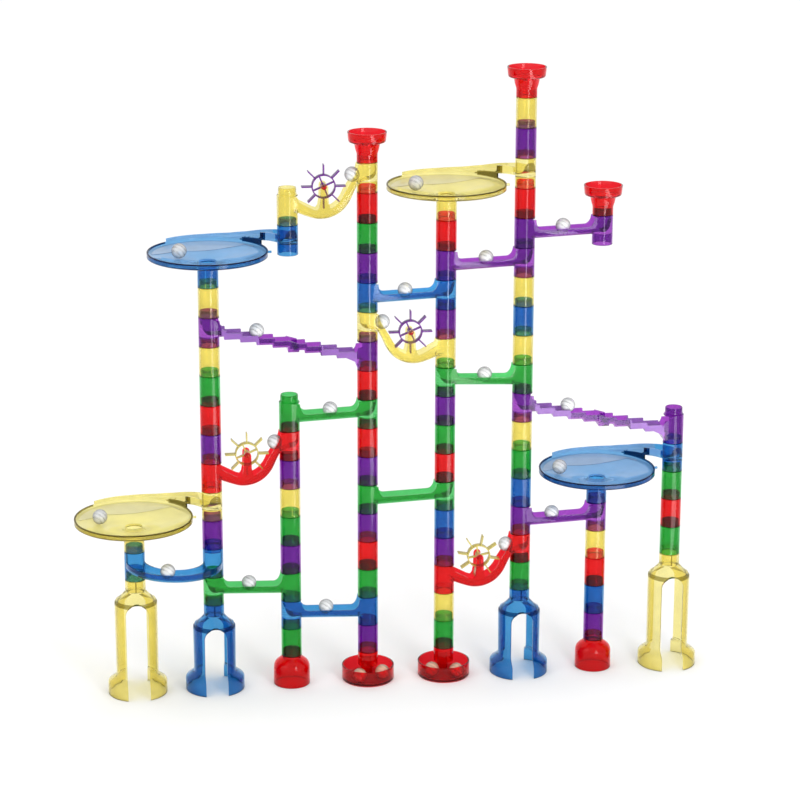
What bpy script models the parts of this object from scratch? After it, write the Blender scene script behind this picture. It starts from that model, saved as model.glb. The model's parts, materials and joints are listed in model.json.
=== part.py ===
"""Marble run: eight towers of push-fit tubes joined by slides, stairs, paddle wheels and bowls.

Lengths in this file are millimetres; MM turns them into metres when a mesh is made.
"Level n" is the n-th joint between tubes above the base joint, one PITCH apart.
"""

import math

import bmesh
import bpy
from mathutils import Matrix

MM = 0.001

# --- The push-fit tube system ---
PITCH = 32.0
SPACING = 84.0
BASE_HEIGHT = 33.0
TUBE_RADIUS = 11.0
BORE_RADIUS = 9.8
SPIGOT_RADIUS = 9.2
SPIGOT_BORE = 8.5
SPIGOT_HEIGHT = 7.7
HALF_GAP = 0.15
GROOVE_DEPTH = 0.4
GROOVE_HALF = 0.4
TUBE_SIDES = 10
BASE_SIDES = 10
DISH_SIDES = 12
# How far a cutter runs on past the face that it opens.
PAST = 5.0
SIDE_REACH_LEFT = 147.3
SIDE_REACH_RIGHT = 536.0
ROW_CENTRE = (SIDE_REACH_RIGHT - SIDE_REACH_LEFT) / 2
TALL_LEG_LEVEL = 3
SHORT_LEG_LEVEL = 2

# --- Troughs ---
HALF_TROUGH = 10.0
HALF_CHANNEL = 8.5
HALF_POST = 9.8
FLOOR_THICKNESS = 1.5
ENTRY_FLOOR = 14.8
FLOOR_DROP = 3.4
WALL_ABOVE_FLOOR = 6.5
PLUG_THICKNESS = 2.5
WINDOW_TOP = 30.8
GUSSET_TOP = 30.2
SKY = 60.0
CURVE_STEPS = 10

# --- Stairs: ten treads fall one level over two spacings ---
STAIR_TREADS = 10
STAIR_RUN = 17.0
FIRST_EDGE = 16.5
STAIR_FALL = PITCH / (STAIR_TREADS - 1)
STAIR_FLOOR = 13.6
STAIR_WALL = 5.0
HALVES_MEET = 88.0
COLLAR_START = 82.0
COLLAR_END = 94.0
COLLAR_HALF = 11.6
COLLAR_WALL = 1.3
COLLAR_CLEARANCE = 0.3

# --- Paddle wheels ---
SCOOP_WALL = 9.0
AXLE_FROM_LOWER_TUBE = 38.0
AXLE_ABOVE_JOINT = 7.5
AXLE_RADIUS = 1.3
AXLE_HOLE = 1.7
AXLE_HALF_LENGTH = 9.5
HUB_RADIUS = 3.0
RING_INNER = 11.4
RING_OUTER = 12.7
PADDLE_TIP = 23.4
PADDLE_HALF_THICKNESS = 0.65
PADDLES = 8
SPOKES = 4
SPOKE_HALF = 0.7
WHEEL_HALF_WIDTH = 3.8

# --- Bowls ---
BOWL_RADIUS = 63.3
BOWL_SIDES = 16
RIM_HEIGHT = 38.5
BOWL_WALL = 1.8
BOWL_FLOOR_EDGE = 35.6
BOWL_FLOOR_CENTRE = 28.2
BOWL_HOLE = 8.8
BOWL_NECK_TOP = 26.0
CHUTE_RADIUS = 93.0
CHUTE_CENTRE_Y = -40.0
CHUTE_STEPS = 6
CHUTE_END = 97.0
BACK_WALL_SPAN = (45.0, 135.0)

# --- Marbles ---
MARBLE_RADIUS = 8.0
MARBLE_LIFT = 0.3
MARBLE_SEGMENTS = 8
MARBLE_RINGS = 6

# Where a marble rests on a scoop and on a stair: distance from the entry axis, height above the joint.
WHEEL_MARBLE = (16.0, 19.4)
STAIR_MARBLE = (50.3, 14.79)
CURVE_MARBLE_ANGLE = 256.5

# --- The build: towers are numbered 1 to 8 from the left ---
# Plain tube stacks: name, tower, bottom level, top level, colour.
STACKS = [
    ("tubes_2", 2, 7, 11, "green"),
    ("tubes_3", 3, 3, 7, "purple"),
    ("tubes_4", 4, 13, 16, "green"),
    ("tubes_5", 5, 6, 9, "red"),
]
# Bowls: name, tower, level, colour, plain lengths moulded on below, radius at which its marble circles.
BOWLS = [
    ("1", 1, 4, "yellow", 0, 35.5),
    ("2", 2, 13, "blue", 1, 29.5),
    ("5", 5, 15, "yellow", 1, 32.5),
    ("7", 7, 5, "blue", 0, 41.5),
]
# Straight slides: name, entry tower, exit tower, level, colour, lengths moulded above the entry tube
# and above the exit tube, and how far along the marble rests.
SLIDES = [
    ("2_3", 2, 3, 2, "green", 0, 0, 38.4),
    ("3_4", 3, 4, 1, "blue", 0, 3, 38.1),
    ("4_3", 4, 3, 8, "green", 1, 0, 40.3),
    ("5_4_low", 5, 4, 5, "green", 0, 2, None),
    ("5_4_high", 5, 4, 12, "blue", 0, 0, 43.8),
    ("6_5", 6, 5, 13, "purple", 0, 0, 41.2),
    ("7_6_high", 7, 6, 14, "purple", 0, 1, 42.7),
    ("5_6", 5, 6, 9, "green", 0, 3, 42.6),
    ("7_6_low", 7, 6, 4, "purple", 0, 3, 49.4),
]
# Stairs: name, entry tower, exit tower, the joint that both end tubes touch.
STAIRS = [("2_4", 2, 4, 11), ("6_8", 6, 8, 8)]
# Scoops: name, upper tower, lower tower, joint, colour, wheel colour, wheel turn in degrees,
# lengths moulded above the lower tube.
WHEELS = [
    ("3_2", 3, 2, 7, "red", "yellow", 0.0, 0),
    ("4_5", 4, 5, 11, "yellow", "purple", 0.0, 1),
    ("4_3", 4, 3, 16, "yellow", "purple", 0.0, 0),
    ("6_5", 6, 5, 3, "red", "yellow", -11.0, 2),
]

COLOURS = {
    "yellow": (0.86, 0.68, 0.10, 1.0),
    "blue": (0.05, 0.17, 0.55, 1.0),
    "purple": (0.22, 0.06, 0.42, 1.0),
    "red": (0.80, 0.01, 0.02, 1.0),
    "green": (0.03, 0.38, 0.07, 1.0),
    "clear": (0.85, 0.88, 0.90, 1.0),
}

parts = bpy.data.collections.new("marble_run")
cutters = bpy.data.collections.new("cutters")


def start_scene():
    for thing in list(bpy.data.objects):
        bpy.data.objects.remove(thing)
    bpy.context.scene.collection.children.link(parts)
    bpy.context.scene.collection.children.link(cutters)
    cutters.hide_render = True


def column_x(column):
    """World X of a tower's axis; towers are numbered from 1 at the left."""
    return SPACING * (column - 2) - ROW_CENTRE


def level_z(level):
    return BASE_HEIGHT + PITCH * level


# --- Meshes ---


def placed(name, mesh, spot=(0.0, 0.0, 0.0)):
    thing = bpy.data.objects.new(name, mesh)
    thing.location = [value * MM for value in spot]
    cutters.objects.link(thing)
    thing.display_type = "WIRE"
    return thing


def lathe(name, profile, spot=(0.0, 0.0, 0.0), sides=TUBE_SIDES, closed=False):
    """Turns a profile of (radius, height) points, listed down the outer side, about a vertical axis."""
    mesh = bpy.data.meshes.new(name)
    body = bmesh.new()
    row = [body.verts.new((radius * MM, 0.0, height * MM)) for radius, height in profile]
    for first, second in zip(row, row[1:]):
        body.edges.new((first, second))
    if closed:
        body.edges.new((row[-1], row[0]))
    body.to_mesh(mesh)
    body.free()
    thing = placed(name, mesh, spot)
    turn = thing.modifiers.new("Turn", "SCREW")
    turn.steps = sides
    turn.render_steps = sides
    turn.use_merge_vertices = True
    turn.merge_threshold = 0.00001
    return thing


def tidy_mesh(mesh, matrix):
    body = bmesh.new()
    body.from_mesh(mesh)
    bmesh.ops.remove_doubles(body, verts=body.verts, dist=0.000001)
    bmesh.ops.recalc_face_normals(body, faces=body.faces)
    body.transform(matrix)
    body.to_mesh(mesh)
    body.free()


def slab(name, outlines, low, high, upright=True, spot=(0.0, 0.0, 0.0)):
    """Extrudes closed outlines. Upright ones are (x, z) and span y; flat ones are (x, y) and span z."""
    curve = bpy.data.curves.new(name, "CURVE")
    curve.dimensions = "2D"
    curve.fill_mode = "BOTH"
    curve.extrude = (high - low) / 2 * MM
    for outline in outlines:
        spline = curve.splines.new("POLY")
        spline.points.add(len(outline) - 1)
        for point, (across, along) in zip(spline.points, outline):
            point.co = (across * MM, along * MM, 0.0, 1.0)
        spline.use_cyclic_u = True
    drawn = bpy.data.objects.new(name, curve)
    cutters.objects.link(drawn)
    graph = bpy.context.evaluated_depsgraph_get()
    mesh = bpy.data.meshes.new_from_object(drawn.evaluated_get(graph))
    bpy.data.objects.remove(drawn)
    middle = (low + high) / 2 * MM
    if upright:
        turn = Matrix.Translation((0.0, middle, 0.0)) @ Matrix.Rotation(math.radians(90.0), 4, "X")
    else:
        turn = Matrix.Translation((0.0, 0.0, middle))
    tidy_mesh(mesh, turn)
    return placed(name, mesh, spot)


def rod(name, radius, half_length, spot, sides, tipped_about="X"):
    """A round rod centred on spot: it lies along Y when tipped about X, and along X when tipped about Y."""
    mesh = bpy.data.meshes.new(name)
    body = bmesh.new()
    bmesh.ops.create_cone(
        body,
        cap_ends=True,
        segments=sides,
        radius1=radius * MM,
        radius2=radius * MM,
        depth=2 * half_length * MM,
    )
    body.transform(Matrix.Rotation(math.radians(90.0), 4, tipped_about))
    body.to_mesh(mesh)
    body.free()
    return placed(name, mesh, spot)


def combine(target, other, operation):
    step = target.modifiers.new(other.name, "BOOLEAN")
    step.operation = operation
    step.solver = "EXACT"
    step.object = other
    other.hide_render = True


def add(target, *others):
    for other in others:
        combine(target, other, "UNION")


def cut(target, *others):
    for other in others:
        combine(target, other, "DIFFERENCE")


def paint(thing, colour):
    material = bpy.data.materials.new(thing.name)
    material.use_nodes = True
    shader = material.node_tree.nodes["Principled BSDF"]
    shader.inputs["Base Color"].default_value = COLOURS[colour]
    shader.inputs["Roughness"].default_value = 0.12
    shader.inputs["IOR"].default_value = 1.5
    thing.data.materials.append(material)


def keep(thing, colour):
    """Moves a finished sub-part out of the cutters and gives it its own material."""
    cutters.objects.unlink(thing)
    parts.objects.link(thing)
    thing.display_type = "TEXTURED"
    paint(thing, colour)
    return thing


# --- Tubes ---


def grooves(bottom, top, radius=TUBE_RADIUS):
    """Outer points, top to bottom, with a groove at each joint between moulded-on tube lengths."""
    points = [(radius, top)]
    joint = top + HALF_GAP - PITCH
    while joint > bottom + PITCH / 2:
        points += [
            (radius, joint + GROOVE_HALF),
            (radius - GROOVE_DEPTH, joint),
            (radius, joint - GROOVE_HALF),
        ]
        joint -= PITCH
    points.append((radius, bottom))
    return points


def tube_solid(name, column, low, high):
    """A filled tube from level low to level high with a spigot on top; the bore is cut afterwards."""
    bottom = level_z(low) + HALF_GAP
    top = level_z(high) - HALF_GAP
    spigot_top = level_z(high) + SPIGOT_HEIGHT
    profile = [(0.0, spigot_top), (SPIGOT_RADIUS, spigot_top), (SPIGOT_RADIUS, top)]
    profile += grooves(bottom, top) + [(0.0, bottom)]
    return lathe(name, profile, (column_x(column), 0.0, 0.0))


def bore_cutter(name, column, low, high, bottom=None):
    """Cuts a slightly tapered bore up through the spigot; it starts at bottom, or below an open tube."""
    start = level_z(low) - PAST if bottom is None else bottom
    top = level_z(high) + SPIGOT_HEIGHT + PAST
    profile = [(0.0, top), (SPIGOT_BORE, top), (BORE_RADIUS, start), (0.0, start)]
    return lathe(name, profile, (column_x(column), 0.0, 0.0))


def socket_cutter(name, column, level, depth):
    """Cuts the socket below an entry floor."""
    top = level_z(level) + depth
    bottom = level_z(level) - PAST
    profile = [(0.0, top), (BORE_RADIUS, top), (BORE_RADIUS, bottom), (0.0, bottom)]
    return lathe(name, profile, (column_x(column), 0.0, 0.0))


def make_stack(name, column, low, high, colour):
    tower = tube_solid(name, column, low, high)
    cut(tower, bore_cutter(name + "_bore", column, low, high))
    keep(tower, colour)


# --- Slides ---


def slide_frame(start, end, level):
    """Maps local (distance from the entry axis, height above the joint) to world (x, z)."""
    sign = 1.0 if column_x(end) > column_x(start) else -1.0
    base = level_z(level)

    def world(points):
        return [(column_x(start) + sign * across, base + up) for across, up in points]

    return world


def finish_slide(slide, name, pieces, bores, colour):
    add(slide, *pieces)
    cut(slide, *bores)
    return keep(slide, colour)


def make_slide(name, start, end, level, colour, above_start, above_end):
    """A straight trough between neighbouring towers, with plain lengths moulded on above its end tubes."""
    world = slide_frame(start, end, level)
    span = SPACING

    def floor(across):
        return ENTRY_FLOOR - FLOOR_DROP * across / span

    under = [(2.0, floor(2.0) - FLOOR_THICKNESS), (span - 2.0, floor(span - 2.0) - FLOOR_THICKNESS)]
    rim = floor(span / 2) + WALL_ABOVE_FLOOR
    top = [
        (span - 2.0, GUSSET_TOP),
        (span - 10.5, GUSSET_TOP),
        (span - 12.5, rim + 4.0),
        (span - 17.5, rim - 0.8),
        (17.5, rim + 0.8),
        (11.5, rim + 5.5),
        (10.5, GUSSET_TOP),
        (2.0, GUSSET_TOP),
    ]
    trough = slab(name + "_trough", [world(under + top)], -HALF_TROUGH, HALF_TROUGH)
    channel_outline = [(0.0, floor(0.0)), (span, floor(span)), (span, WINDOW_TOP), (0.0, WINDOW_TOP)]
    channel = slab(name + "_channel", [world(channel_outline)], -HALF_CHANNEL, HALF_CHANNEL)
    first = (level, level + 1 + above_start)
    last = (level, level + 1 + above_end)
    slide = tube_solid(name, start, *first)
    far_tube = tube_solid(name + "_far_tube", end, *last)
    bores = [
        channel,
        bore_cutter(name + "_bore", start, *first, bottom=level_z(level) + ENTRY_FLOOR),
        socket_cutter(name + "_socket", start, level, ENTRY_FLOOR - PLUG_THICKNESS),
        bore_cutter(name + "_far_bore", end, *last),
    ]
    finish_slide(slide, name, [far_tube, trough], bores, colour)


def arc_points(radius, first, last, steps, centre=(0.0, 0.0)):
    points = []
    for step in range(steps + 1):
        angle = math.radians(first + (last - first) * step / steps)
        points.append((centre[0] + radius * math.cos(angle), centre[1] + radius * math.sin(angle)))
    return points


def tilt(thing, middle_x, middle_z, drop):
    """Tips a slab about a line through its middle so that its floor falls by drop over one spacing."""
    slope = math.atan(drop / SPACING)
    pivot = Matrix.Translation((middle_x * MM, 0.0, middle_z * MM))
    thing.data.transform(pivot @ Matrix.Rotation(slope, 4, "Y") @ pivot.inverted())


def make_curved_slide(name, start, end, level, colour, above_end):
    """A half-circle trough that swings out in front of two neighbouring towers."""
    middle = (column_x(start) + column_x(end)) / 2
    radius = SPACING / 2
    base = level_z(level)
    floor = base + ENTRY_FLOOR - FLOOR_DROP / 2

    def band(label, half_width, low, high):
        outer = arc_points(radius + half_width, 180.0, 360.0, CURVE_STEPS, (middle, 0.0))
        inner = arc_points(radius - half_width, 360.0, 180.0, CURVE_STEPS, (middle, 0.0))
        return slab(name + label, [outer + inner], low, high, upright=False)

    trough = band("_trough", HALF_TROUGH, floor - FLOOR_THICKNESS, floor + WALL_ABOVE_FLOOR)
    channel = band("_channel", HALF_CHANNEL, floor, floor + 17.0)
    for piece in (trough, channel):
        tilt(piece, middle, floor, FLOOR_DROP)
    first = (level, level + 1)
    last = (level, level + 1 + above_end)
    slide = tube_solid(name, start, *first)
    far_tube = tube_solid(name + "_far_tube", end, *last)
    bores = [
        channel,
        bore_cutter(name + "_bore", start, *first, bottom=base + ENTRY_FLOOR),
        socket_cutter(name + "_socket", start, level, ENTRY_FLOOR - PLUG_THICKNESS),
        bore_cutter(name + "_far_bore", end, *last),
    ]
    finish_slide(slide, name, [far_tube, trough], bores, colour)


# --- Stairs ---


def tread_floor(tread):
    return STAIR_FLOOR - STAIR_FALL * tread


def edge_x(tread):
    """Where tread ends and the next one begins."""
    return FIRST_EDGE + STAIR_RUN * tread


def stair_line(first, last, start, end, height, shift):
    """Stepped line through treads first to last, offset from the floor by height, edges moved by shift."""
    points = [(start, tread_floor(first) + height)]
    for tread in range(first, last):
        points.append((edge_x(tread) + shift, tread_floor(tread) + height))
        points.append((edge_x(tread) + shift, tread_floor(tread + 1) + height))
    points.append((end, tread_floor(last) + height))
    return points


def stair_trough(name, world, first, last, start, end, posts):
    """The stepped trough from start to end; posts are outlines where it meets a tube."""
    under = stair_line(first, last, start, end, -FLOOR_THICKNESS, -FLOOR_THICKNESS)
    rim = stair_line(first, last, start, end, STAIR_WALL, 1.0)
    pieces = [slab(name + "_trough", [world(under + rim[::-1])], -HALF_TROUGH, HALF_TROUGH)]
    for number, outline in enumerate(posts):
        pieces.append(slab(f"{name}_post_{number}", [world(outline)], -HALF_POST, HALF_POST))
    return pieces


def make_stair_upper(name, start, end, joint, colour):
    """The upper half: an entry tube, treads down to the middle, and a collar round the lower half."""
    world = slide_frame(start, end, joint)
    meet = HALVES_MEET - HALF_GAP
    post_top = GUSSET_TOP - 2.0
    post = [(2.0, 12.0), (12.0, 12.0), (17.5, 17.5), (12.5, 22.5), (10.5, post_top), (2.0, post_top)]
    pieces = stair_trough(name, world, 0, 5, 2.0, meet, [post])
    seat = tread_floor(5) - FLOOR_THICKNESS - COLLAR_CLEARANCE
    collar_outline = [
        (COLLAR_START, seat - COLLAR_WALL),
        (COLLAR_END, seat - COLLAR_WALL),
        (COLLAR_END, tread_floor(5) + STAIR_WALL + 0.6),
        (COLLAR_START, tread_floor(4) + STAIR_WALL + 0.6),
    ]
    pieces.append(slab(name + "_collar", [world(collar_outline)], -COLLAR_HALF, COLLAR_HALF))
    channel_outline = stair_line(0, 5, 0.0, COLLAR_END + 2.0, 0.0, 0.0)
    channel_outline += [(COLLAR_END + 2.0, SKY), (13.0, SKY), (13.0, WINDOW_TOP), (0.0, WINDOW_TOP)]
    channel = slab(name + "_channel", [world(channel_outline)], -HALF_CHANNEL, HALF_CHANNEL)
    seat_outline = [(meet, seat), (COLLAR_END + 3.0, seat), (COLLAR_END + 3.0, SKY), (meet, SKY)]
    seat_half = HALF_TROUGH + COLLAR_CLEARANCE
    seat_cut = slab(name + "_seat", [world(seat_outline)], -seat_half, seat_half)
    slide = tube_solid(name, start, joint, joint + 1)
    bores = [
        channel,
        seat_cut,
        bore_cutter(name + "_bore", start, joint, joint + 1, bottom=level_z(joint) + STAIR_FLOOR),
        socket_cutter(name + "_socket", start, joint, STAIR_FLOOR - PLUG_THICKNESS),
    ]
    finish_slide(slide, name, pieces, bores, colour)


def make_stair_lower(name, start, end, joint, colour):
    """The lower half: treads from the middle down to an open tube below the joint."""
    world = slide_frame(start, end, joint)
    span = 2 * SPACING
    meet = HALVES_MEET + HALF_GAP
    below = -PITCH
    post = [
        (span - 2.0, below + 5.0),
        (span - 12.5, below + 5.0),
        (span - 14.5, below + 11.0),
        (span - 26.0, below + 16.5),
        (span - 14.0, below + 19.5),
        (span - 11.0, below + GUSSET_TOP - 4.0),
        (span - 2.0, below + GUSSET_TOP - 4.0),
    ]
    pieces = stair_trough(name, world, 5, STAIR_TREADS - 1, meet, span - 2.0, [post])
    channel_outline = stair_line(5, STAIR_TREADS - 1, meet - 3.0, span, 0.0, 0.0)
    channel_outline += [(span, below + WINDOW_TOP), (span - 13.0, below + WINDOW_TOP)]
    channel_outline += [(span - 13.0, SKY), (meet - 3.0, SKY)]
    channel = slab(name + "_channel", [world(channel_outline)], -HALF_CHANNEL, HALF_CHANNEL)
    slide = tube_solid(name, end, joint - 1, joint)
    bores = [channel, bore_cutter(name + "_bore", end, joint - 1, joint)]
    finish_slide(slide, name, pieces, bores, colour)


# --- Paddle wheels and their slides ---

# Underside of the scoop: distance from the lower tube's axis, height above the joint that its tubes share.
WHEEL_UNDERSIDE = [
    (73.5, 10.6),
    (69.5, 2.8),
    (63.5, -9.6),
    (55.0, -19.0),
    (43.5, -24.6),
    (31.0, -25.6),
    (19.0, -22.2),
    (9.0, -18.2),
]


def offset_line(points, distance):
    """Moves an open line sideways, to the left of its direction of travel when distance is positive."""
    moved = []
    for number, point in enumerate(points):
        before = points[max(number - 1, 0)]
        after = points[min(number + 1, len(points) - 1)]
        along = (after[0] - before[0], after[1] - before[1])
        length = math.hypot(*along)
        moved.append((point[0] - along[1] / length * distance, point[1] + along[0] / length * distance))
    return moved


def make_wheel_slide(name, upper, lower, joint, colour, above_lower):
    """A scooped trough from the tube above the joint to the tube below it, with two arms for the axle."""
    world = slide_frame(lower, upper, joint)
    span = SPACING
    floor_line = offset_line(WHEEL_UNDERSIDE, -FLOOR_THICKNESS)
    rim_line = offset_line(WHEEL_UNDERSIDE, -SCOOP_WALL)
    outline = [(span - 2.0, 13.0)] + WHEEL_UNDERSIDE + [(2.0, -16.0), (2.0, -PITCH + GUSSET_TOP)]
    outline += [(9.5, -PITCH + GUSSET_TOP), (11.5, -8.0)] + rim_line[-2:0:-1]
    outline += [(70.0, 19.5), (72.5, 25.0), (74.0, GUSSET_TOP), (span - 2.0, GUSSET_TOP)]
    trough = slab(name + "_trough", [world(outline)], -HALF_TROUGH, HALF_TROUGH)
    axle_x = AXLE_FROM_LOWER_TUBE
    axle_z = AXLE_ABOVE_JOINT
    half_arm = [(3.0, axle_z + 4.0), (4.2, axle_z), (5.5, -13.0), (9.0, -19.0)]
    arm = [(axle_x - across, up) for across, up in half_arm]
    arm += [(axle_x + across, up) for across, up in half_arm[::-1]]
    arms = slab(name + "_arms", [world(arm)], -HALF_POST, HALF_POST)
    channel_outline = [(span, ENTRY_FLOOR)] + floor_line + [(0.0, -15.0), (0.0, -PITCH + WINDOW_TOP)]
    channel_outline += [(14.0, -PITCH + WINDOW_TOP), (14.0, SKY)]
    channel_outline += [(70.0, SKY), (70.0, WINDOW_TOP), (span, WINDOW_TOP)]
    channel = slab(name + "_channel", [world(channel_outline)], -HALF_CHANNEL, HALF_CHANNEL)
    axle_spot = world([(axle_x, axle_z)])[0]
    hole = rod(name + "_hole", AXLE_HOLE, HALF_TROUGH + 5.0, (axle_spot[0], 0.0, axle_spot[1]), 8)
    slide = tube_solid(name, upper, joint, joint + 1)
    last = (joint - 1, joint + above_lower)
    far_tube = tube_solid(name + "_far_tube", lower, *last)
    bores = [
        channel,
        hole,
        bore_cutter(name + "_bore", upper, joint, joint + 1, bottom=level_z(joint) + ENTRY_FLOOR),
        socket_cutter(name + "_socket", upper, joint, ENTRY_FLOOR - PLUG_THICKNESS),
        bore_cutter(name + "_far_bore", lower, *last),
    ]
    finish_slide(slide, name, [far_tube, trough, arms], bores, colour)


def wheel_outlines(turned):
    """The rim with its paddles, then the openings between the spokes."""
    outer = []
    for number in range(PADDLES):
        angle = 360.0 / PADDLES * number + turned
        root = math.degrees(math.asin(PADDLE_HALF_THICKNESS / RING_OUTER))
        tip = math.degrees(math.asin(PADDLE_HALF_THICKNESS / PADDLE_TIP))
        outer += arc_points(RING_OUTER, angle - root, angle - root, 1)[:1]
        outer += arc_points(PADDLE_TIP, angle - tip, angle + tip, 1)
        outer += arc_points(RING_OUTER, angle + root, angle + root, 1)[:1]
        outer += arc_points(RING_OUTER, angle + 180.0 / PADDLES, angle + 180.0 / PADDLES, 1)[:1]
    outlines = [outer]
    for number in range(SPOKES):
        angle = 360.0 / SPOKES * number + turned + 22.5
        inside = math.degrees(math.asin(SPOKE_HALF / (HUB_RADIUS - 0.8)))
        outside = math.degrees(math.asin(SPOKE_HALF / RING_INNER))
        far = angle + 360.0 / SPOKES
        hole = arc_points(RING_INNER, angle + outside, far - outside, 2)
        hole += arc_points(HUB_RADIUS - 0.8, far - inside, angle + inside, 1)
        outlines.append(hole)
    return outlines


def make_wheel(name, upper, lower, joint, colour, turned):
    world = slide_frame(lower, upper, joint)
    axle_x, axle_z = world([(AXLE_FROM_LOWER_TUBE, AXLE_ABOVE_JOINT)])[0]
    spot = (axle_x, 0.0, axle_z)
    wheel = slab(name, wheel_outlines(turned), -WHEEL_HALF_WIDTH, WHEEL_HALF_WIDTH, spot=spot)
    hub = rod(name + "_hub", HUB_RADIUS, WHEEL_HALF_WIDTH + 1.5, spot, 8)
    axle = rod(name + "_axle", AXLE_RADIUS, AXLE_HALF_LENGTH, spot, 8)
    add(wheel, hub, axle)
    keep(wheel, colour)


# --- Bowls ---


def bowl_dish(name, column, level, extra_below):
    """The dish with its drain hole, on a neck that is pushed over the tube below."""
    joint = level_z(level)
    spot = (column_x(column), 0.0, 0.0)
    profile = [
        (BOWL_RADIUS - BOWL_WALL, joint + RIM_HEIGHT),
        (BOWL_RADIUS, joint + RIM_HEIGHT),
        (BOWL_RADIUS, joint + RIM_HEIGHT - 5.5),
        (BOWL_RADIUS - 2.5, joint + RIM_HEIGHT - 6.7),
        (TUBE_RADIUS - 0.5, joint + BOWL_NECK_TOP - 2.0),
        (BOWL_HOLE + 0.4, joint + BOWL_NECK_TOP - 2.0),
        (BOWL_HOLE + 0.4, joint + BOWL_FLOOR_CENTRE),
        (BOWL_RADIUS - BOWL_WALL, joint + BOWL_FLOOR_EDGE),
    ]
    dish = lathe(name, profile, spot, BOWL_SIDES, closed=True)
    bottom = level_z(level - extra_below) + HALF_GAP
    top = joint + BOWL_NECK_TOP
    start = joint + PITCH - HALF_GAP
    neck = [(0.0, top), (TUBE_RADIUS, top)] + grooves(bottom, start)[1:] + [(0.0, bottom)]
    add(dish, lathe(name + "_neck", neck, spot))
    drain = [(0.0, top + 9.0), (BOWL_HOLE, top + 9.0), (BOWL_HOLE, top - 4.0), (BORE_RADIUS, top - 4.0)]
    cut(dish, lathe(name + "_drain", drain + [(BORE_RADIUS, bottom - 5.0), (0.0, bottom - 5.0)], spot))
    return dish


def chute_band(name, centre_x, half_width, low, high):
    """A flat band that follows the chute's arc in plan, from the inlet tube to the back of the bowl."""
    centre = (centre_x, CHUTE_CENTRE_Y)
    start = math.degrees(math.atan2(-CHUTE_CENTRE_Y, SPACING))
    outer = arc_points(CHUTE_RADIUS + half_width, start, 90.0, CHUTE_STEPS, centre)
    inner = arc_points(CHUTE_RADIUS - half_width, 90.0, start, CHUTE_STEPS, centre)
    return slab(name, [outer + inner], low, high, upright=False)


# The top edge of the chute and back wall, then the chute's floor: distance right of the bowl's axis, and
# height above the joint.
CHUTE_TOP = [(-60.0, 42.2), (0.0, 42.2), (25.0, 43.6), (52.0, 49.0), (73.0, 53.4), (100.0, 54.0)]
CHUTE_FLOOR = [(0.0, 38.9), (22.0, 39.4), (48.0, 42.4), (73.0, 45.8), (84.0, 46.4), (CHUTE_END, 46.4)]


def make_bowl(name, column, level, colour, extra_below=0):
    """A shallow dish on a neck, fed by a chute that curves in from a tube on the next tower."""
    joint = level_z(level)
    middle = column_x(column)
    inner_radius = BOWL_RADIUS - BOWL_WALL

    def world(points):
        return [(middle + across, joint + up) for across, up in points]

    bowl = bowl_dish(name, column, level, extra_below)
    chute = chute_band(name + "_chute", middle, HALF_TROUGH, joint + 30.0, joint + SKY)
    back = arc_points(BOWL_RADIUS - 0.3, *BACK_WALL_SPAN, 4, (middle, 0.0))
    back += arc_points(inner_radius + 0.3, *BACK_WALL_SPAN[::-1], 4, (middle, 0.0))
    add(chute, slab(name + "_back", [back], joint + 36.5, joint + SKY, upright=False))
    above = CHUTE_TOP + [(100.0, SKY + 5.0), (-60.0, SKY + 5.0)]
    under = [(across, up - FLOOR_THICKNESS) for across, up in CHUTE_FLOOR]
    under += [(CHUTE_END, 20.0), (5.0, 20.0)]
    under[0] = (5.0, under[0][1])
    cut(chute, slab(name + "_above", [world(above)], -20.0, 90.0))
    cut(chute, slab(name + "_under", [world(under)], -20.0, 90.0))
    reach = inner_radius + 0.3
    inside = [(0.0, SKY + 5.0), (reach, SKY + 5.0), (reach, 25.0), (0.0, 25.0)]
    cut(chute, lathe(name + "_inside", inside, (middle, 0.0, joint), BOWL_SIDES))
    channel = chute_band(name + "_channel", middle, HALF_CHANNEL, joint + 30.0, joint + PITCH + WINDOW_TOP)
    below = CHUTE_FLOOR + [(CHUTE_END, 20.0), (0.0, 20.0)]
    cut(channel, slab(name + "_below", [world(below)], -20.0, 90.0))
    inlet = level + 1
    entry = CHUTE_FLOOR[-1][1]
    peg_spot = (middle + BOWL_RADIUS + 0.8, -3.3, joint + RIM_HEIGHT - 2.4)
    pieces = [
        chute,
        tube_solid(name + "_inlet", column + 1, inlet, inlet + 1),
        rod(name + "_peg", 1.3, 2.4, peg_spot, 6, tipped_about="Y"),
    ]
    bores = [
        channel,
        bore_cutter(name + "_bore", column + 1, inlet, inlet + 1, bottom=joint + entry),
        socket_cutter(name + "_socket", column + 1, inlet, entry - PITCH - PLUG_THICKNESS),
    ]
    add(bowl, *pieces)
    cut(bowl, *bores)
    keep(bowl, colour)


# --- Bases and funnels ---


def neck_profile(level, extra_above, first_radius=SPIGOT_BORE):
    """Spigot, shoulder and plain tube above a base: outer points, top to bottom."""
    top = level_z(level + extra_above)
    points = [
        (first_radius, top + SPIGOT_HEIGHT),
        (SPIGOT_RADIUS, top + SPIGOT_HEIGHT),
        (SPIGOT_RADIUS, top - HALF_GAP),
    ]
    low = level_z(level) - PITCH
    return points + grooves(low, top - HALF_GAP)[:-1]


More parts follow.
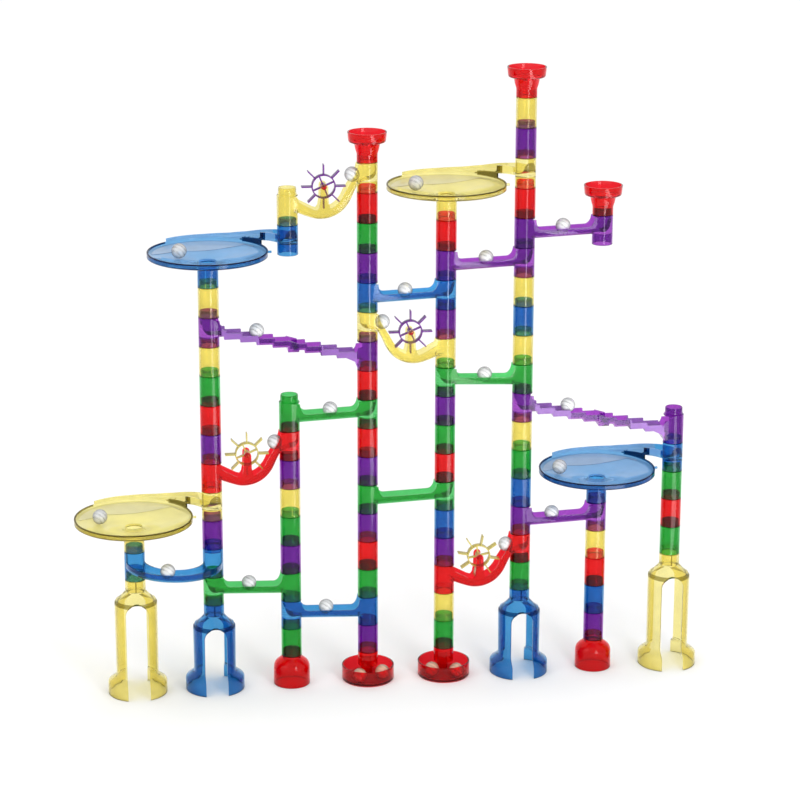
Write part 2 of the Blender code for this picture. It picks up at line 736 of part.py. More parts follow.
def make_leg(name, column, level, colour, extra_above=0):
    """A forked foot: a bell with an arch cut through it from front to back."""
    joint = level_z(level)
    outer = neck_profile(level, extra_above)
    outer += [(11.0, joint - 10.0), (18.8, joint - 17.5), (23.0, joint - 28.0), (23.0, 23.0)]
    outer += [(29.5, 15.5), (32.0, 12.5), (32.0, 0.0)]
    inner = [(30.0, 0.0), (30.0, 11.6), (23.2, 17.6), (20.8, 22.5), (20.8, joint - 27.8)]
    inner += [(17.2, joint - 19.2), (SPIGOT_BORE, joint - 11.0)]
    leg = lathe(name, outer + inner, (column_x(column), 0.0, 0.0), BASE_SIDES, closed=True)
    middle = column_x(column)
    half = [(12.0, -2.0), (12.0, joint - 36.0), (10.4, joint - 29.5), (6.2, joint - 25.0)]
    half += [(0.0, joint - 23.2)]
    right = [(middle + across, up) for across, up in half]
    left = [(middle - across, up) for across, up in half[-2::-1]]
    cut(leg, slab(name + "_arch", [right + left], -40.0, 40.0))
    keep(leg, colour)


def make_round_base(name, column, colour, extra_above):
    base = level_z(0)
    outer = neck_profile(0, extra_above)
    outer += [(11.0, base - 2.5), (17.5, base - 7.5), (19.6, base - 13.5), (19.8, 0.0)]
    inner = [(18.0, 0.0), (17.8, base - 14.0), (15.8, base - 8.8), (SPIGOT_BORE, base - 4.5)]
    spot = (column_x(column), 0.0, 0.0)
    keep(lathe(name, outer + inner, spot, BASE_SIDES, closed=True), colour)


def make_catcher(name, column, colour, extra_above):
    """An open dish at the foot of a tower, under a neck that stands on one post at the back."""
    middle = column_x(column)
    floor = 2.0
    rim = BASE_HEIGHT - 16.0
    profile = [(0.0, floor + 4.0), (8.0, floor), (27.0, floor), (27.0, rim), (28.6, rim)]
    profile += [(28.6, 1.6), (27.2, 0.0), (0.0, 0.0)]
    dish = lathe(name, profile, (middle, 0.0, 0.0), DISH_SIDES)
    top = level_z(extra_above)
    neck_end = 16.5
    outline = neck_profile(0, extra_above, first_radius=0.0)
    outline += [(TUBE_RADIUS, neck_end), (0.0, neck_end)]
    neck = lathe(name + "_neck", outline, (middle, 0.0, 0.0))
    outline = [(middle - 6.0, 1.0), (middle + 6.0, 1.0), (middle + 6.0, 22.0), (middle - 6.0, 22.0)]
    post = slab(name + "_post", [outline], 8.8, 11.8)
    add(dish, neck, post)
    bore_top = top + SPIGOT_HEIGHT + PAST
    bore_start = neck_end - PAST
    bore = [(0.0, bore_top), (SPIGOT_BORE, bore_top), (BORE_RADIUS, bore_start), (0.0, bore_start)]
    cut(dish, lathe(name + "_bore", bore, (middle, 0.0, 0.0)))
    keep(dish, colour)


def make_funnel(name, column, level, colour, extra_below=0):
    """A starter cup that marbles are dropped into."""
    joint = level_z(level)
    bottom = level_z(level - extra_below) + HALF_GAP
    outer = [(19.0, joint + 32.0), (20.7, joint + 32.0), (19.4, joint + 21.2)]
    outer += [(13.8, joint + 20.2), (11.0, joint + 9.0)]
    start = joint + PITCH - HALF_GAP
    outer += grooves(bottom, start)[1:-1] + [(TUBE_RADIUS, bottom)]
    inner = [(BORE_RADIUS, bottom), (BORE_RADIUS, joint + 8.4)]
    inner += [(BOWL_HOLE, joint + 9.6), (BOWL_HOLE, joint + 18.0), (17.6, joint + 23.2)]
    keep(lathe(name, outer + inner, (column_x(column), 0.0, 0.0), BASE_SIDES, closed=True), colour)


# --- Marbles ---


def make_marble(name, centre, axis_spot=None):
    """A marble whose object origin is its joint's: the centre, or a point on the axis it circles."""
    origin = centre if axis_spot is None else axis_spot
    mesh = bpy.data.meshes.new(name)
    body = bmesh.new()
    bmesh.ops.create_uvsphere(
        body, u_segments=MARBLE_SEGMENTS, v_segments=MARBLE_RINGS, radius=MARBLE_RADIUS * MM
    )
    shift = [(value - start) * MM for value, start in zip(centre, origin)]
    body.transform(Matrix.Translation(shift))
    body.to_mesh(mesh)
    body.free()
    keep(placed(name, mesh, origin), "clear")


def make_slide_marble(name, start, end, level, along):
    floor = ENTRY_FLOOR - FLOOR_DROP * along / SPACING
    spot = slide_frame(start, end, level)([(along, floor + MARBLE_LIFT + MARBLE_RADIUS)])[0]
    make_marble(name, (spot[0], 0.0, spot[1]))


def make_wheel_marble(name, upper, lower, joint):
    spot = slide_frame(upper, lower, joint)([WHEEL_MARBLE])[0]
    make_marble(name, (spot[0], 0.0, spot[1]))


def make_stair_marble(name, start, end, joint):
    spot = slide_frame(start, end, joint)([STAIR_MARBLE])[0]
    make_marble(name, (spot[0], 0.0, spot[1]))


def make_curve_marble(name, start, end, level):
    """Sits part-way round the half-circle, on a floor that is tipped towards its far end."""
    middle = (column_x(start) + column_x(end)) / 2
    floor = level_z(level) + ENTRY_FLOOR - FLOOR_DROP / 2
    slope = math.atan(FLOOR_DROP / SPACING)
    angle = math.radians(CURVE_MARBLE_ANGLE)
    flat = (SPACING / 2 * math.cos(angle), SPACING / 2 * math.sin(angle), MARBLE_RADIUS + MARBLE_LIFT)
    tipped = Matrix.Rotation(slope, 3, "Y") @ Matrix.Translation(flat).translation
    centre = (middle + tipped.x, tipped.y, floor + tipped.z)
    make_marble(name, centre, (middle, 0.0, floor))


def make_bowl_marble(name, column, level, radius):
    slope = math.atan2(BOWL_FLOOR_EDGE - BOWL_FLOOR_CENTRE, BOWL_RADIUS - BOWL_WALL - BOWL_HOLE)
    floor = BOWL_FLOOR_CENTRE + (radius - BOWL_HOLE) * math.tan(slope)
    height = level_z(level) + floor + (MARBLE_RADIUS + MARBLE_LIFT) / math.cos(slope)
    middle = column_x(column)
    make_marble(name, (middle - radius, 0.0, height), (middle, 0.0, height))


def build():
    start_scene()
    make_leg("tall_leg_1", 1, TALL_LEG_LEVEL, "yellow")
    make_leg("short_leg_2", 2, SHORT_LEG_LEVEL, "blue")
    make_round_base("round_base_3", 3, "red", 1)
    make_catcher("catch_dish_4", 4, "red", 1)
    make_catcher("catch_dish_5", 5, "red", 2)
    make_leg("short_leg_6", 6, SHORT_LEG_LEVEL, "blue", 1)
    make_round_base("round_base_7", 7, "red", 4)
    make_leg("tall_leg_8", 8, TALL_LEG_LEVEL, "yellow", 3)
    make_funnel("funnel_4", 4, 17, "red")
    make_funnel("funnel_6", 6, 19, "red", 2)
    make_funnel("funnel_7", 7, 15, "red")
    for name, column, low, high, colour in STACKS:
        make_stack(name, column, low, high, colour)
    for name, column, level, colour, extra_below, _ in BOWLS:
        make_bowl("bowl_" + name, column, level, colour, extra_below)
    make_curved_slide("slide_curved", 1, 2, 3, "blue", 1)
    for name, start, end, level, colour, above_start, above_end, _ in SLIDES:
        make_slide("slide_" + name, start, end, level, colour, above_start, above_end)
    for name, start, end, joint in STAIRS:
        make_stair_upper(f"stair_{name}_upper", start, end, joint, "purple")
        make_stair_lower(f"stair_{name}_lower", start, end, joint, "purple")
    for name, upper, lower, joint, colour, wheel_colour, turned, above_lower in WHEELS:
        make_wheel_slide("scoop_" + name, upper, lower, joint, colour, above_lower)
        make_wheel("wheel_" + name, upper, lower, joint, wheel_colour, turned)
    for name, column, level, _, _, radius in BOWLS:
        make_bowl_marble("marble_bowl_" + name, column, level, radius)
    make_curve_marble("marble_curved", 1, 2, 3)
    for name, start, end, level, *_, along in SLIDES:
        if along is not None:
            make_slide_marble("marble_" + name, start, end, level, along)
    for name, start, end, joint in STAIRS:
        make_stair_marble("marble_stair_" + name, start, end, joint)
    for name, upper, lower, joint, *_ in WHEELS:
        make_wheel_marble("marble_scoop_" + name, upper, lower, joint)


build()
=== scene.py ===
"""Looks of the marble run: every tube, slide, bowl, wheel and marble as its own moulded piece.

Lengths are millimetres in the row's frame; MM turns them into metres when a mesh is made.
A slide's own outlines use (distance from its upper tube's axis, height above its joint).
"""

import json
import math

import bmesh
import bpy
from mathutils import Matrix, Vector

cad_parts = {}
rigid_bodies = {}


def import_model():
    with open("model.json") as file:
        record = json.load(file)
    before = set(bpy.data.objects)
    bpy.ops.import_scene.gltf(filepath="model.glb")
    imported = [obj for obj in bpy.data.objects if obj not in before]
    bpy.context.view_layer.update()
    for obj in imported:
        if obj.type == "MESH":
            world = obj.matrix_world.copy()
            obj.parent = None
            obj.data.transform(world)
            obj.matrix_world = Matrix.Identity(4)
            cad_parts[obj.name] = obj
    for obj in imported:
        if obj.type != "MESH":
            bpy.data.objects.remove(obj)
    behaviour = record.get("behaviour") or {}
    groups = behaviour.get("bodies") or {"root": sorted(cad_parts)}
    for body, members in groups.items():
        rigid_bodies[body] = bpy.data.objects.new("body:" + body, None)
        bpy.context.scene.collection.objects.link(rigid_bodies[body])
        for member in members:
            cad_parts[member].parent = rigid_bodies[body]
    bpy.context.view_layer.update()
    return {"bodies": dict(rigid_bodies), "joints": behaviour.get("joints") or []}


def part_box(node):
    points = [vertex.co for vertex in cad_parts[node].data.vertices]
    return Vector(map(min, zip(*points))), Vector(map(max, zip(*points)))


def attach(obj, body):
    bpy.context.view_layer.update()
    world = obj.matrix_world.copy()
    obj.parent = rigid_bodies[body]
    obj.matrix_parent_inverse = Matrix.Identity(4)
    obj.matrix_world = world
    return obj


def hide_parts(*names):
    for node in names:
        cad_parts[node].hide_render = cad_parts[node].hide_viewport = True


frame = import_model()

MM = 0.001
FRAME_BODY = "tower_frame"

# --- The grid of towers and joints, read from the frame ---
PITCH = 32.0
SPIGOT_HEIGHT = 7.7


def middle(node):
    low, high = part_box(node)
    return (low + high) / 2 / MM


FIRST_X = middle("tall_leg_1").x
SPACING = (middle("tall_leg_8").x - FIRST_X) / 7
BASE_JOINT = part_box("round_base_3")[1].z / MM - SPIGOT_HEIGHT - PITCH


def column_x(column):
    return FIRST_X + SPACING * (column - 1)


def level_z(level):
    return BASE_JOINT + PITCH * level


# --- Sizes shared by the pieces ---
TUBE_RADIUS = 11.0
BORE_RADIUS = 9.8
SPIGOT_RADIUS = 9.45
SPIGOT_BORE = 8.3
HALF_GAP = 0.12
TUBE_SIDES = 48
CUT_STEP = 0.43
BIG_SIDES = 96
HALF_TROUGH = 10.0
HALF_CHANNEL = 8.5
FLOOR_THICKNESS = 1.5
ENTRY_FLOOR = 14.8
FLOOR_DROP = 3.4
WALL_ABOVE_FLOOR = 6.5
PLUG = 2.5
WINDOW_TOP = 30.8
GUSSET_TOP = 30.4
SKY = 60.0


# --- Outlines ---


def arc(radius, first, last, steps, centre=(0.0, 0.0)):
    """Points on an arc, angles in degrees."""
    points = []
    for step in range(steps + 1):
        angle = math.radians(first + (last - first) * step / steps)
        points.append((centre[0] + radius * math.cos(angle), centre[1] + radius * math.sin(angle)))
    return points


def softened(points, radius, steps=3):
    """Rounds every corner of a closed outline, by less where an edge is short."""
    rounded = []
    for number, corner in enumerate(points):
        before = Vector(points[number - 1])
        here = Vector(corner)
        after = Vector(points[(number + 1) % len(points)])
        back = before - here
        ahead = after - here
        reach = min(radius, back.length * 0.45, ahead.length * 0.45)
        start = here + back.normalized() * reach
        end = here + ahead.normalized() * reach
        for step in range(steps + 1):
            share = step / steps
            point = start.lerp(here, share).lerp(here.lerp(end, share), share)
            rounded.append((point.x, point.y))
    return rounded


def smooth_line(points, steps=5):
    """A Catmull-Rom curve through the points."""
    ends = [points[0]] + list(points) + [points[-1]]
    line = []
    for number in range(1, len(ends) - 2):
        p0, p1, p2, p3 = (Vector(point) for point in ends[number - 1:number + 3])
        for step in range(steps):
            t = step / steps
            spot = 0.5 * (2 * p1 + (p2 - p0) * t + (2 * p0 - 5 * p1 + 4 * p2 - p3) * t ** 2
                          + (3 * p1 - p0 - 3 * p2 + p3) * t ** 3)
            line.append((spot.x, spot.y))
    line.append(tuple(points[-1]))
    return line


def offset_line(points, distance):
    """Moves an open line sideways, to the left of its direction when distance is positive."""
    moved = []
    for number, point in enumerate(points):
        before = points[max(number - 1, 0)]
        after = points[min(number + 1, len(points) - 1)]
        along = Vector((after[0] - before[0], after[1] - before[1])).normalized()
        moved.append((point[0] - along.y * distance, point[1] + along.x * distance))
    return moved


def height_at(table, across):
    """Straight-line value of a list of (distance, height) points."""
    if across <= table[0][0]:
        return table[0][1]
    for (x1, z1), (x2, z2) in zip(table, table[1:]):
        if across <= x2:
            return z1 + (z2 - z1) * (across - x1) / (x2 - x1)
    return table[-1][1]


# --- Meshes ---


def placed(name, body):
    """Makes an object of a bmesh in millimetres."""
    bmesh.ops.remove_doubles(body, verts=body.verts, dist=0.001)
    bmesh.ops.recalc_face_normals(body, faces=body.faces)
    body.transform(Matrix.Scale(MM, 4))
    mesh = bpy.data.meshes.new(name)
    body.to_mesh(mesh)
    body.free()
    thing = bpy.data.objects.new(name, mesh)
    bpy.context.scene.collection.objects.link(thing)
    return thing


def turned(name, profile, spot=(0.0, 0.0, 0.0), sides=TUBE_SIDES, part_step=0.0):
    """Turns a closed (radius, height) outline about a vertical axis.

    part_step turns the result by a part of one side, so that a cutter's edges miss those of the piece it cuts.
    """
    body = bmesh.new()
    row = [body.verts.new((radius, 0.0, height)) for radius, height in profile]
    for number, vert in enumerate(row):
        following = row[(number + 1) % len(row)]
        if vert.co.x > 0.001 or following.co.x > 0.001:
            body.edges.new((vert, following))
    bmesh.ops.spin(
        body,
        geom=body.verts[:] + body.edges[:],
        cent=(0.0, 0.0, 0.0),
        axis=(0.0, 0.0, 1.0),
        angle=math.tau,
        steps=sides,
        use_merge=True,
    )
    body.transform(Matrix.Translation(spot) @ Matrix.Rotation(math.tau / sides * part_step, 4, "Z"))
    return placed(name, body)


def slab(name, outline, low, high, upright=True, soft_below=0.0, soft_line=None):
    """Extrudes an outline: (x, z) across y when upright, else (x, y) up z.

    soft_below rounds the two long edges of an upright slab that run along soft_line.
    """
    body = bmesh.new()
    if upright:
        corners = [body.verts.new((x, low, z)) for x, z in outline]
        shift = (0.0, high - low, 0.0)
    else:
        corners = [body.verts.new((x, y, low)) for x, y in outline]
        shift = (0.0, 0.0, high - low)
    face = body.faces.new(corners)
    grown = bmesh.ops.extrude_face_region(body, geom=[face])
    bmesh.ops.translate(body, verts=[v for v in grown["geom"] if isinstance(v, bmesh.types.BMVert)], vec=shift)
    bmesh.ops.recalc_face_normals(body, faces=body.faces)
    if soft_below:
        spots = {(round(x, 3), round(z, 3)) for x, z in soft_line}
        edges = [
            edge for edge in body.edges
            if abs(edge.verts[0].co.y - edge.verts[1].co.y) < 0.001
            and all((round(v.co.x, 3), round(v.co.z, 3)) in spots for v in edge.verts)
        ]
        bmesh.ops.bevel(body, geom=edges, offset=soft_below, segments=4, profile=0.5, affect="EDGES")
    return placed(name, body)


def swept(name, stations):
    """Joins equal closed loops of points into a solid with capped ends."""
    body = bmesh.new()
    rows = [[body.verts.new(point) for point in station] for station in stations]
    count = len(rows[0])
    for near, far in zip(rows, rows[1:]):
        for number in range(count):
            following = (number + 1) % count
            body.faces.new((near[number], near[following], far[following], far[number]))
    body.faces.new(rows[0][::-1])
    body.faces.new(rows[-1])
    bmesh.ops.triangulate(body, faces=body.faces)
    return placed(name, body)


def rod(name, radius, half_length, spot, sides=24, axis="Y"):
    body = bmesh.new()
    bmesh.ops.create_cone(
        body, cap_ends=True, segments=sides, radius1=radius, radius2=radius, depth=2 * half_length
    )
    turn = {"Y": Matrix.Rotation(math.radians(90.0), 4, "X"), "X": Matrix.Rotation(math.radians(90.0), 4, "Y")}
    body.transform(Matrix.Translation(spot) @ turn[axis])
    return placed(name, body)


def carved(target, steps):
    """Applies ("UNION" or "DIFFERENCE" or "INTERSECT", tool) steps in turn and removes the tools."""
    for operation, tool in steps:
        step = target.modifiers.new(operation, "BOOLEAN")
        step.operation = operation
        step.solver = "EXACT"
        step.object = tool
    graph = bpy.context.evaluated_depsgraph_get()
    mesh = bpy.data.meshes.new_from_object(target.evaluated_get(graph))
    target.modifiers.clear()
    target.data = mesh
    for _, tool in steps:
        bpy.data.objects.remove(tool)
    return target


# --- Materials ---

# Linear colours of one wall's tint: a tube's, then a dish's or a stair's, which is moulded thinner.
TINTS = {
    "yellow": (0.90, 0.81, 0.33),
    "blue": (0.06, 0.30, 0.62),
    "purple": (0.34, 0.07, 0.50),
    "red": (0.83, 0.02, 0.03),
    "green": (0.10, 0.56, 0.16),
}
PALE_TINTS = {
    "yellow": (0.95, 0.88, 0.36),
    "blue": (0.26, 0.52, 0.82),
    "purple": (0.36, 0.17, 0.54),
    "red": (0.86, 0.03, 0.04),
}
materials = {}


def add_node(tree, kind, **values):
    node = tree.nodes.new(kind)
    for name, value in values.items():
        setattr(node, name, value)
    return node


def varied(tree, scale, low, high, detail=3.0):
    """A noise between two values over the object's own coordinates."""
    place = add_node(tree, "ShaderNodeTexCoord")
    noise = add_node(tree, "ShaderNodeTexNoise")
    noise.inputs["Scale"].default_value = scale
    noise.inputs["Detail"].default_value = detail
    spread = add_node(tree, "ShaderNodeMapRange")
    spread.inputs["From Min"].default_value = 0.3
    spread.inputs["From Max"].default_value = 0.7
    spread.inputs["To Min"].default_value = low
    spread.inputs["To Max"].default_value = high
    tree.links.new(place.outputs["Object"], noise.inputs["Vector"])
    tree.links.new(noise.outputs["Fac"], spread.inputs["Value"])
    return spread.outputs["Result"]


def layered(tree, near, far, factor):
    """Mixes from colour near to colour far."""
    mix = add_node(tree, "ShaderNodeMix", data_type="RGBA")
    for name, colour in (("A", near), ("B", far)):
        if isinstance(colour, tuple):
            mix.inputs[name].default_value = (*colour, 1.0)
        else:
            tree.links.new(colour, mix.inputs[name])
    tree.links.new(factor, mix.inputs["Factor"])
    return mix.outputs["Result"]


def at_grazing(tree, blend, limit):
    """A factor that climbs to limit where a surface turns away from the eye."""
    weight = add_node(tree, "ShaderNodeLayerWeight")
    weight.inputs["Blend"].default_value = blend
    spread = add_node(tree, "ShaderNodeMapRange")
    spread.inputs["From Min"].default_value = 0.15
    spread.inputs["To Max"].default_value = limit
    tree.links.new(weight.outputs["Facing"], spread.inputs["Value"])
    return spread.outputs["Result"]


def plastic(colour, kind="wall"):
    """Translucent moulded polystyrene: faint flow marks, and a deeper tint where the wall is seen edge on.

    The kinds are "wall", "deep" for rims and folds that are seen through their thickness, "thick" for
    wheels, "pale" for dishes and stairs, and "frosted" for the ledge in a bowl.
    """
    name = f"plastic_{colour}_{kind}"
    if name in materials:
        return materials[name]
    material = bpy.data.materials.new(name)
    material.use_nodes = True
    tree = material.node_tree
    shader = tree.nodes["Principled BSDF"]
    tint = PALE_TINTS[colour] if kind in ("pale", "frosted") else TINTS[colour]
    if kind == "deep":
        tint = tuple(value ** 2 * 0.22 for value in tint)
    if kind == "thick":
        tint = tuple(value ** 1.4 * 0.8 for value in tint)
    if kind == "frosted":
        tint = tuple(0.3 + 0.7 * value for value in tint)
    flow = layered(
        tree,
        tuple(value * 0.95 for value in tint),
        tuple(min(value * 1.05, 1.0) for value in tint),
        varied(tree, 60.0, 0.0, 1.0),
    )
    deep = tuple(value ** 1.6 * 0.8 for value in tint)
    grazing = 0.2 if kind in ("pale", "frosted") else 0.8
    tree.links.new(layered(tree, flow, deep, at_grazing(tree, 0.35, grazing)), shader.inputs["Base Color"])
    tree.links.new(varied(tree, 140.0, 0.03, 0.08), shader.inputs["Roughness"])
    bump = add_node(tree, "ShaderNodeBump")
    bump.inputs["Strength"].default_value = 0.04
    bump.inputs["Distance"].default_value = 0.0002
    tree.links.new(varied(tree, 220.0, 0.0, 1.0, 5.0), bump.inputs["Height"])
    tree.links.new(bump.outputs["Normal"], shader.inputs["Normal"])
    clearness = {"wall": 0.985, "deep": 0.95, "thick": 0.5, "pale": 0.5, "frosted": 0.45}
    shader.inputs["Transmission Weight"].default_value = clearness[kind]
    shader.inputs["IOR"].default_value = 1.17
    shader.inputs["Specular IOR Level"].default_value = 0.05 if kind == "deep" else 0.2
    shader.inputs["Coat Weight"].default_value = 0.0 if kind == "deep" else 0.25
    shader.inputs["Coat Roughness"].default_value = 0.07
    materials[name] = material
    return material


def glass(name, tint):
    """Milky glass with a few thin dark swirls, and painted shade that greys it towards its outline."""
    if name in materials:
        return materials[name]
    material = bpy.data.materials.new(name)
    material.use_nodes = True
    tree = material.node_tree
    shader = tree.nodes["Principled BSDF"]
    place = add_node(tree, "ShaderNodeTexCoord")
    swirl = add_node(tree, "ShaderNodeTexWave", wave_type="BANDS", bands_direction="DIAGONAL")
    swirl.inputs["Scale"].default_value = 95.0
    swirl.inputs["Distortion"].default_value = 4.0
    swirl.inputs["Detail"].default_value = 1.0
    swirl.inputs["Detail Scale"].default_value = 110.0
    tree.links.new(place.outputs["Object"], swirl.inputs["Vector"])
    thin = add_node(tree, "ShaderNodeMapRange")
    thin.inputs["From Min"].default_value = 0.82
    thin.inputs["From Max"].default_value = 0.98
    tree.links.new(swirl.outputs["Fac"], thin.inputs["Value"])
    broken = add_node(tree, "ShaderNodeMath", operation="MULTIPLY")
    tree.links.new(thin.outputs["Result"], broken.inputs[0])
    tree.links.new(varied(tree, 150.0, 0.2, 1.0), broken.inputs[1])
    # Painted shade: the base colour falls to 0.3 of the tint where the ball turns away from the eye, greying its
    # outline.
    rim = layered(tree, tint, tuple(value * 0.3 for value in tint), at_grazing(tree, 0.5, 1.0))
    marked = layered(tree, rim, tuple(value * 0.08 for value in tint), broken.outputs["Value"])
    tree.links.new(marked, shader.inputs["Base Color"])
    tree.links.new(varied(tree, 300.0, 0.02, 0.06), shader.inputs["Roughness"])
    shader.inputs["Transmission Weight"].default_value = 0.3
    shader.inputs["IOR"].default_value = 1.5
    materials[name] = material
    return material


def ribbon_material(name, colour):
    """The opaque coloured glass drawn through a marble."""
    if name in materials:
        return materials[name]
    material = bpy.data.materials.new(name)
    material.use_nodes = True
    tree = material.node_tree
    shader = tree.nodes["Principled BSDF"]
    mix = add_node(tree, "ShaderNodeMix", data_type="RGBA")
    mix.inputs["A"].default_value = (*[value * 0.7 for value in colour], 1.0)
    mix.inputs["B"].default_value = (*colour, 1.0)
    tree.links.new(varied(tree, 400.0, 0.0, 1.0), mix.inputs["Factor"])
    tree.links.new(mix.outputs["Result"], shader.inputs["Base Color"])
    shader.inputs["Roughness"].default_value = 0.35
    materials[name] = material
    return material


# Spigots that nothing is pushed over: tower, level.
OPEN_TOPS = [(3, 9), (8, 8), (3, 16)]
# Material slots of a plastic piece.
WALL = 0
DEEP = 1
OTHER = 2


def joint_zone(spot, normal):
    """Deep on the rims that meet at a joint."""
    column = round((spot.x - FIRST_X) / SPACING) + 1
    level = round((spot.z - BASE_JOINT) / PITCH)
    radius = math.hypot(spot.x - column_x(column), spot.y)
    above = spot.z - level_z(level)
    if (column, level) in OPEN_TOPS:
        return WALL
    if abs(normal.z) > 0.6 and 9.3 < radius < TUBE_RADIUS + 0.1 and abs(above) < 0.6:
        return DEEP
    return WALL


def entry_zone(column, level, floor):
    """Deep on the ramp inside an entry tube."""
    def zone(spot, normal):
        radius = math.hypot(spot.x - column_x(column), spot.y)
        above = spot.z - level_z(level) - floor
        on_bore = abs(radius - BORE_RADIUS + 0.7) < 0.15 and abs(normal.z) < 0.05
        return DEEP if radius < 9.3 and -1.2 < above < 14.5 and not on_bore else WALL
    return zone


def finished(thing, colour, nodes, body=FRAME_BODY, slot=None, kinds=("wall", "deep"), zones=()):
    """Shades a plastic piece, gives it its materials, ties it to its body and hides its CAD nodes."""
    mesh = thing.data
    mesh.materials.clear()
    for kind in kinds:
        mesh.materials.append(kind if isinstance(kind, bpy.types.Material) else plastic(colour, kind))
    for face in mesh.polygons:
        spot = face.center / MM
        found = {zone(spot, face.normal) for zone in (joint_zone, *zones)}
        face.material_index = DEEP if DEEP in found else max(found)
    mesh.shade_smooth()
    mesh.set_sharp_from_angle(angle=math.radians(32.0))
    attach(thing, body)
    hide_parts(*nodes)
    slot or nodes[0]
    return thing


# --- Tubes ---


def spigot_points(top):
    """Outer points down a spigot, with a bead near its foot."""
    return [
        (SPIGOT_BORE, top + SPIGOT_HEIGHT),
        (SPIGOT_RADIUS - 0.5, top + SPIGOT_HEIGHT),
        (SPIGOT_RADIUS, top + SPIGOT_HEIGHT - 0.8),
        (SPIGOT_RADIUS, top + 2.4),
        (SPIGOT_RADIUS + 0.25, top + 1.9),
        (SPIGOT_RADIUS + 0.25, top + 1.1),
        (SPIGOT_RADIUS, top + 0.6),
        (SPIGOT_RADIUS, top - HALF_GAP),
    ]


def tube_outer(low, high):
    """Outer outline of one tube from its spigot down to its lower rim."""
    return spigot_points(high) + [
        (TUBE_RADIUS - 0.3, high - HALF_GAP),
        (TUBE_RADIUS, high - HALF_GAP - 0.3),
        (TUBE_RADIUS, low + HALF_GAP + 0.3),
        (TUBE_RADIUS - 0.3, low + HALF_GAP),
    ]


def tube_bore(low, high):
    """Inner outline of one tube from its lower rim up to its spigot's top."""
    return [
        (BORE_RADIUS + 0.3, low + HALF_GAP),
        (BORE_RADIUS, low + HALF_GAP + 0.4),
        (BORE_RADIUS, low + SPIGOT_HEIGHT + 1.2),
        (BORE_RADIUS - 0.7, low + SPIGOT_HEIGHT + 2.4),
        (BORE_RADIUS - 0.7, high - 2.6),
        (SPIGOT_BORE, high - 1.6),
    ]


def make_tube(owner, column, level, colour):
    low = level_z(level)
    high = level_z(level + 1)
    profile = tube_outer(low, high) + tube_bore(low, high)
    tube = turned(f"tube_{column}_{level}", profile, (column_x(column), 0.0, 0.0))
    return finished(tube, colour, [owner])


def filled_tube(name, column, low_level):
    """A tube's outer shape without its bore, for pieces that are carved afterwards."""
    low = level_z(low_level)
    high = level_z(low_level + 1)
    profile = [(0.0, high + SPIGOT_HEIGHT)] + tube_outer(low, high)[1:] + [(0.0, low + HALF_GAP)]
    return turned(name, profile, (column_x(column), 0.0, 0.0))


def open_bore(name, column, low_level):
    """Cuts a bore right through a tube."""
    low = level_z(low_level)
    high = level_z(low_level + 1)
    inner = tube_bore(low, high)
    profile = [(0.0, low - 4.0), (inner[0][0], low - 4.0)] + inner + [(SPIGOT_BORE, high + 12.0), (0.0, high + 12.0)]
    return turned(name, profile, (column_x(column), 0.0, 0.0), part_step=CUT_STEP)


def upper_bore(name, column, level, floor):
    """Cuts the bore of an entry tube above its floor."""
    high = level_z(level + 1)
    profile = [
        (0.0, level_z(level) + floor),
        (BORE_RADIUS - 0.7, level_z(level) + floor),
        (BORE_RADIUS - 0.7, high - 2.6),
        (SPIGOT_BORE, high - 1.6),
        (SPIGOT_BORE, high + 12.0),
        (0.0, high + 12.0),
    ]
    return turned(name, profile, (column_x(column), 0.0, 0.0), part_step=CUT_STEP)


def socket(name, column, level, depth):
    """Cuts the socket below an entry floor."""
    low = level_z(level)
    profile = [
        (0.0, low - 4.0),
        (BORE_RADIUS + 0.3, low - 4.0),
        (BORE_RADIUS + 0.3, low + HALF_GAP),
        (BORE_RADIUS, low + HALF_GAP + 0.4),
        (BORE_RADIUS, low + depth - 0.8),
        (BORE_RADIUS - 0.8, low + depth),
        (0.0, low + depth),
    ]
    return turned(name, profile, (column_x(column), 0.0, 0.0), part_step=CUT_STEP)


def entry_ramp(name, world, column, level, floor, way=0.0, start=2.0):
    """The curved ramp inside an entry tube that turns a falling marble towards the trough.

    way turns it about the tube's axis, in radians, for a trough that leaves at an angle; start is how
    far past the axis its foot ends.
    """
    centre = (start, floor + 8.7)
    curve = arc(8.7, 180.0, 270.0, 8, centre)
    outline = [(-9.9, floor - 0.6), (-9.9, floor + 14.0), (-8.6, floor + 12.6)] + curve + [(start + 1.0, floor - 0.6)]
    ramp = slab(name, world(outline), -10.0, 10.0)
    axis = Matrix.Translation(Vector((column_x(column), 0.0, 0.0)) * MM)
    ramp.data.transform(axis @ Matrix.Rotation(way, 4, "Z") @ axis.inverted())
    low = level_z(level) + floor - 1.0
    round_limit = turned(
        name + "_limit",
        [(0.0, low), (BORE_RADIUS - 0.4, low), (BORE_RADIUS - 0.4, low + 16.0), (0.0, low + 16.0)],
        (column_x(column), 0.0, 0.0),
        part_step=0.21,
    )
    return carved(ramp, [("INTERSECT", round_limit)])


# --- Slides ---


def slide_frame(start, end, level):
    """Maps (distance from the entry axis, height above the joint) to world (x, z)."""
    sign = 1.0 if end > start else -1.0
    return lambda points: [(column_x(start) + sign * across, level_z(level) + up) for across, up in points]


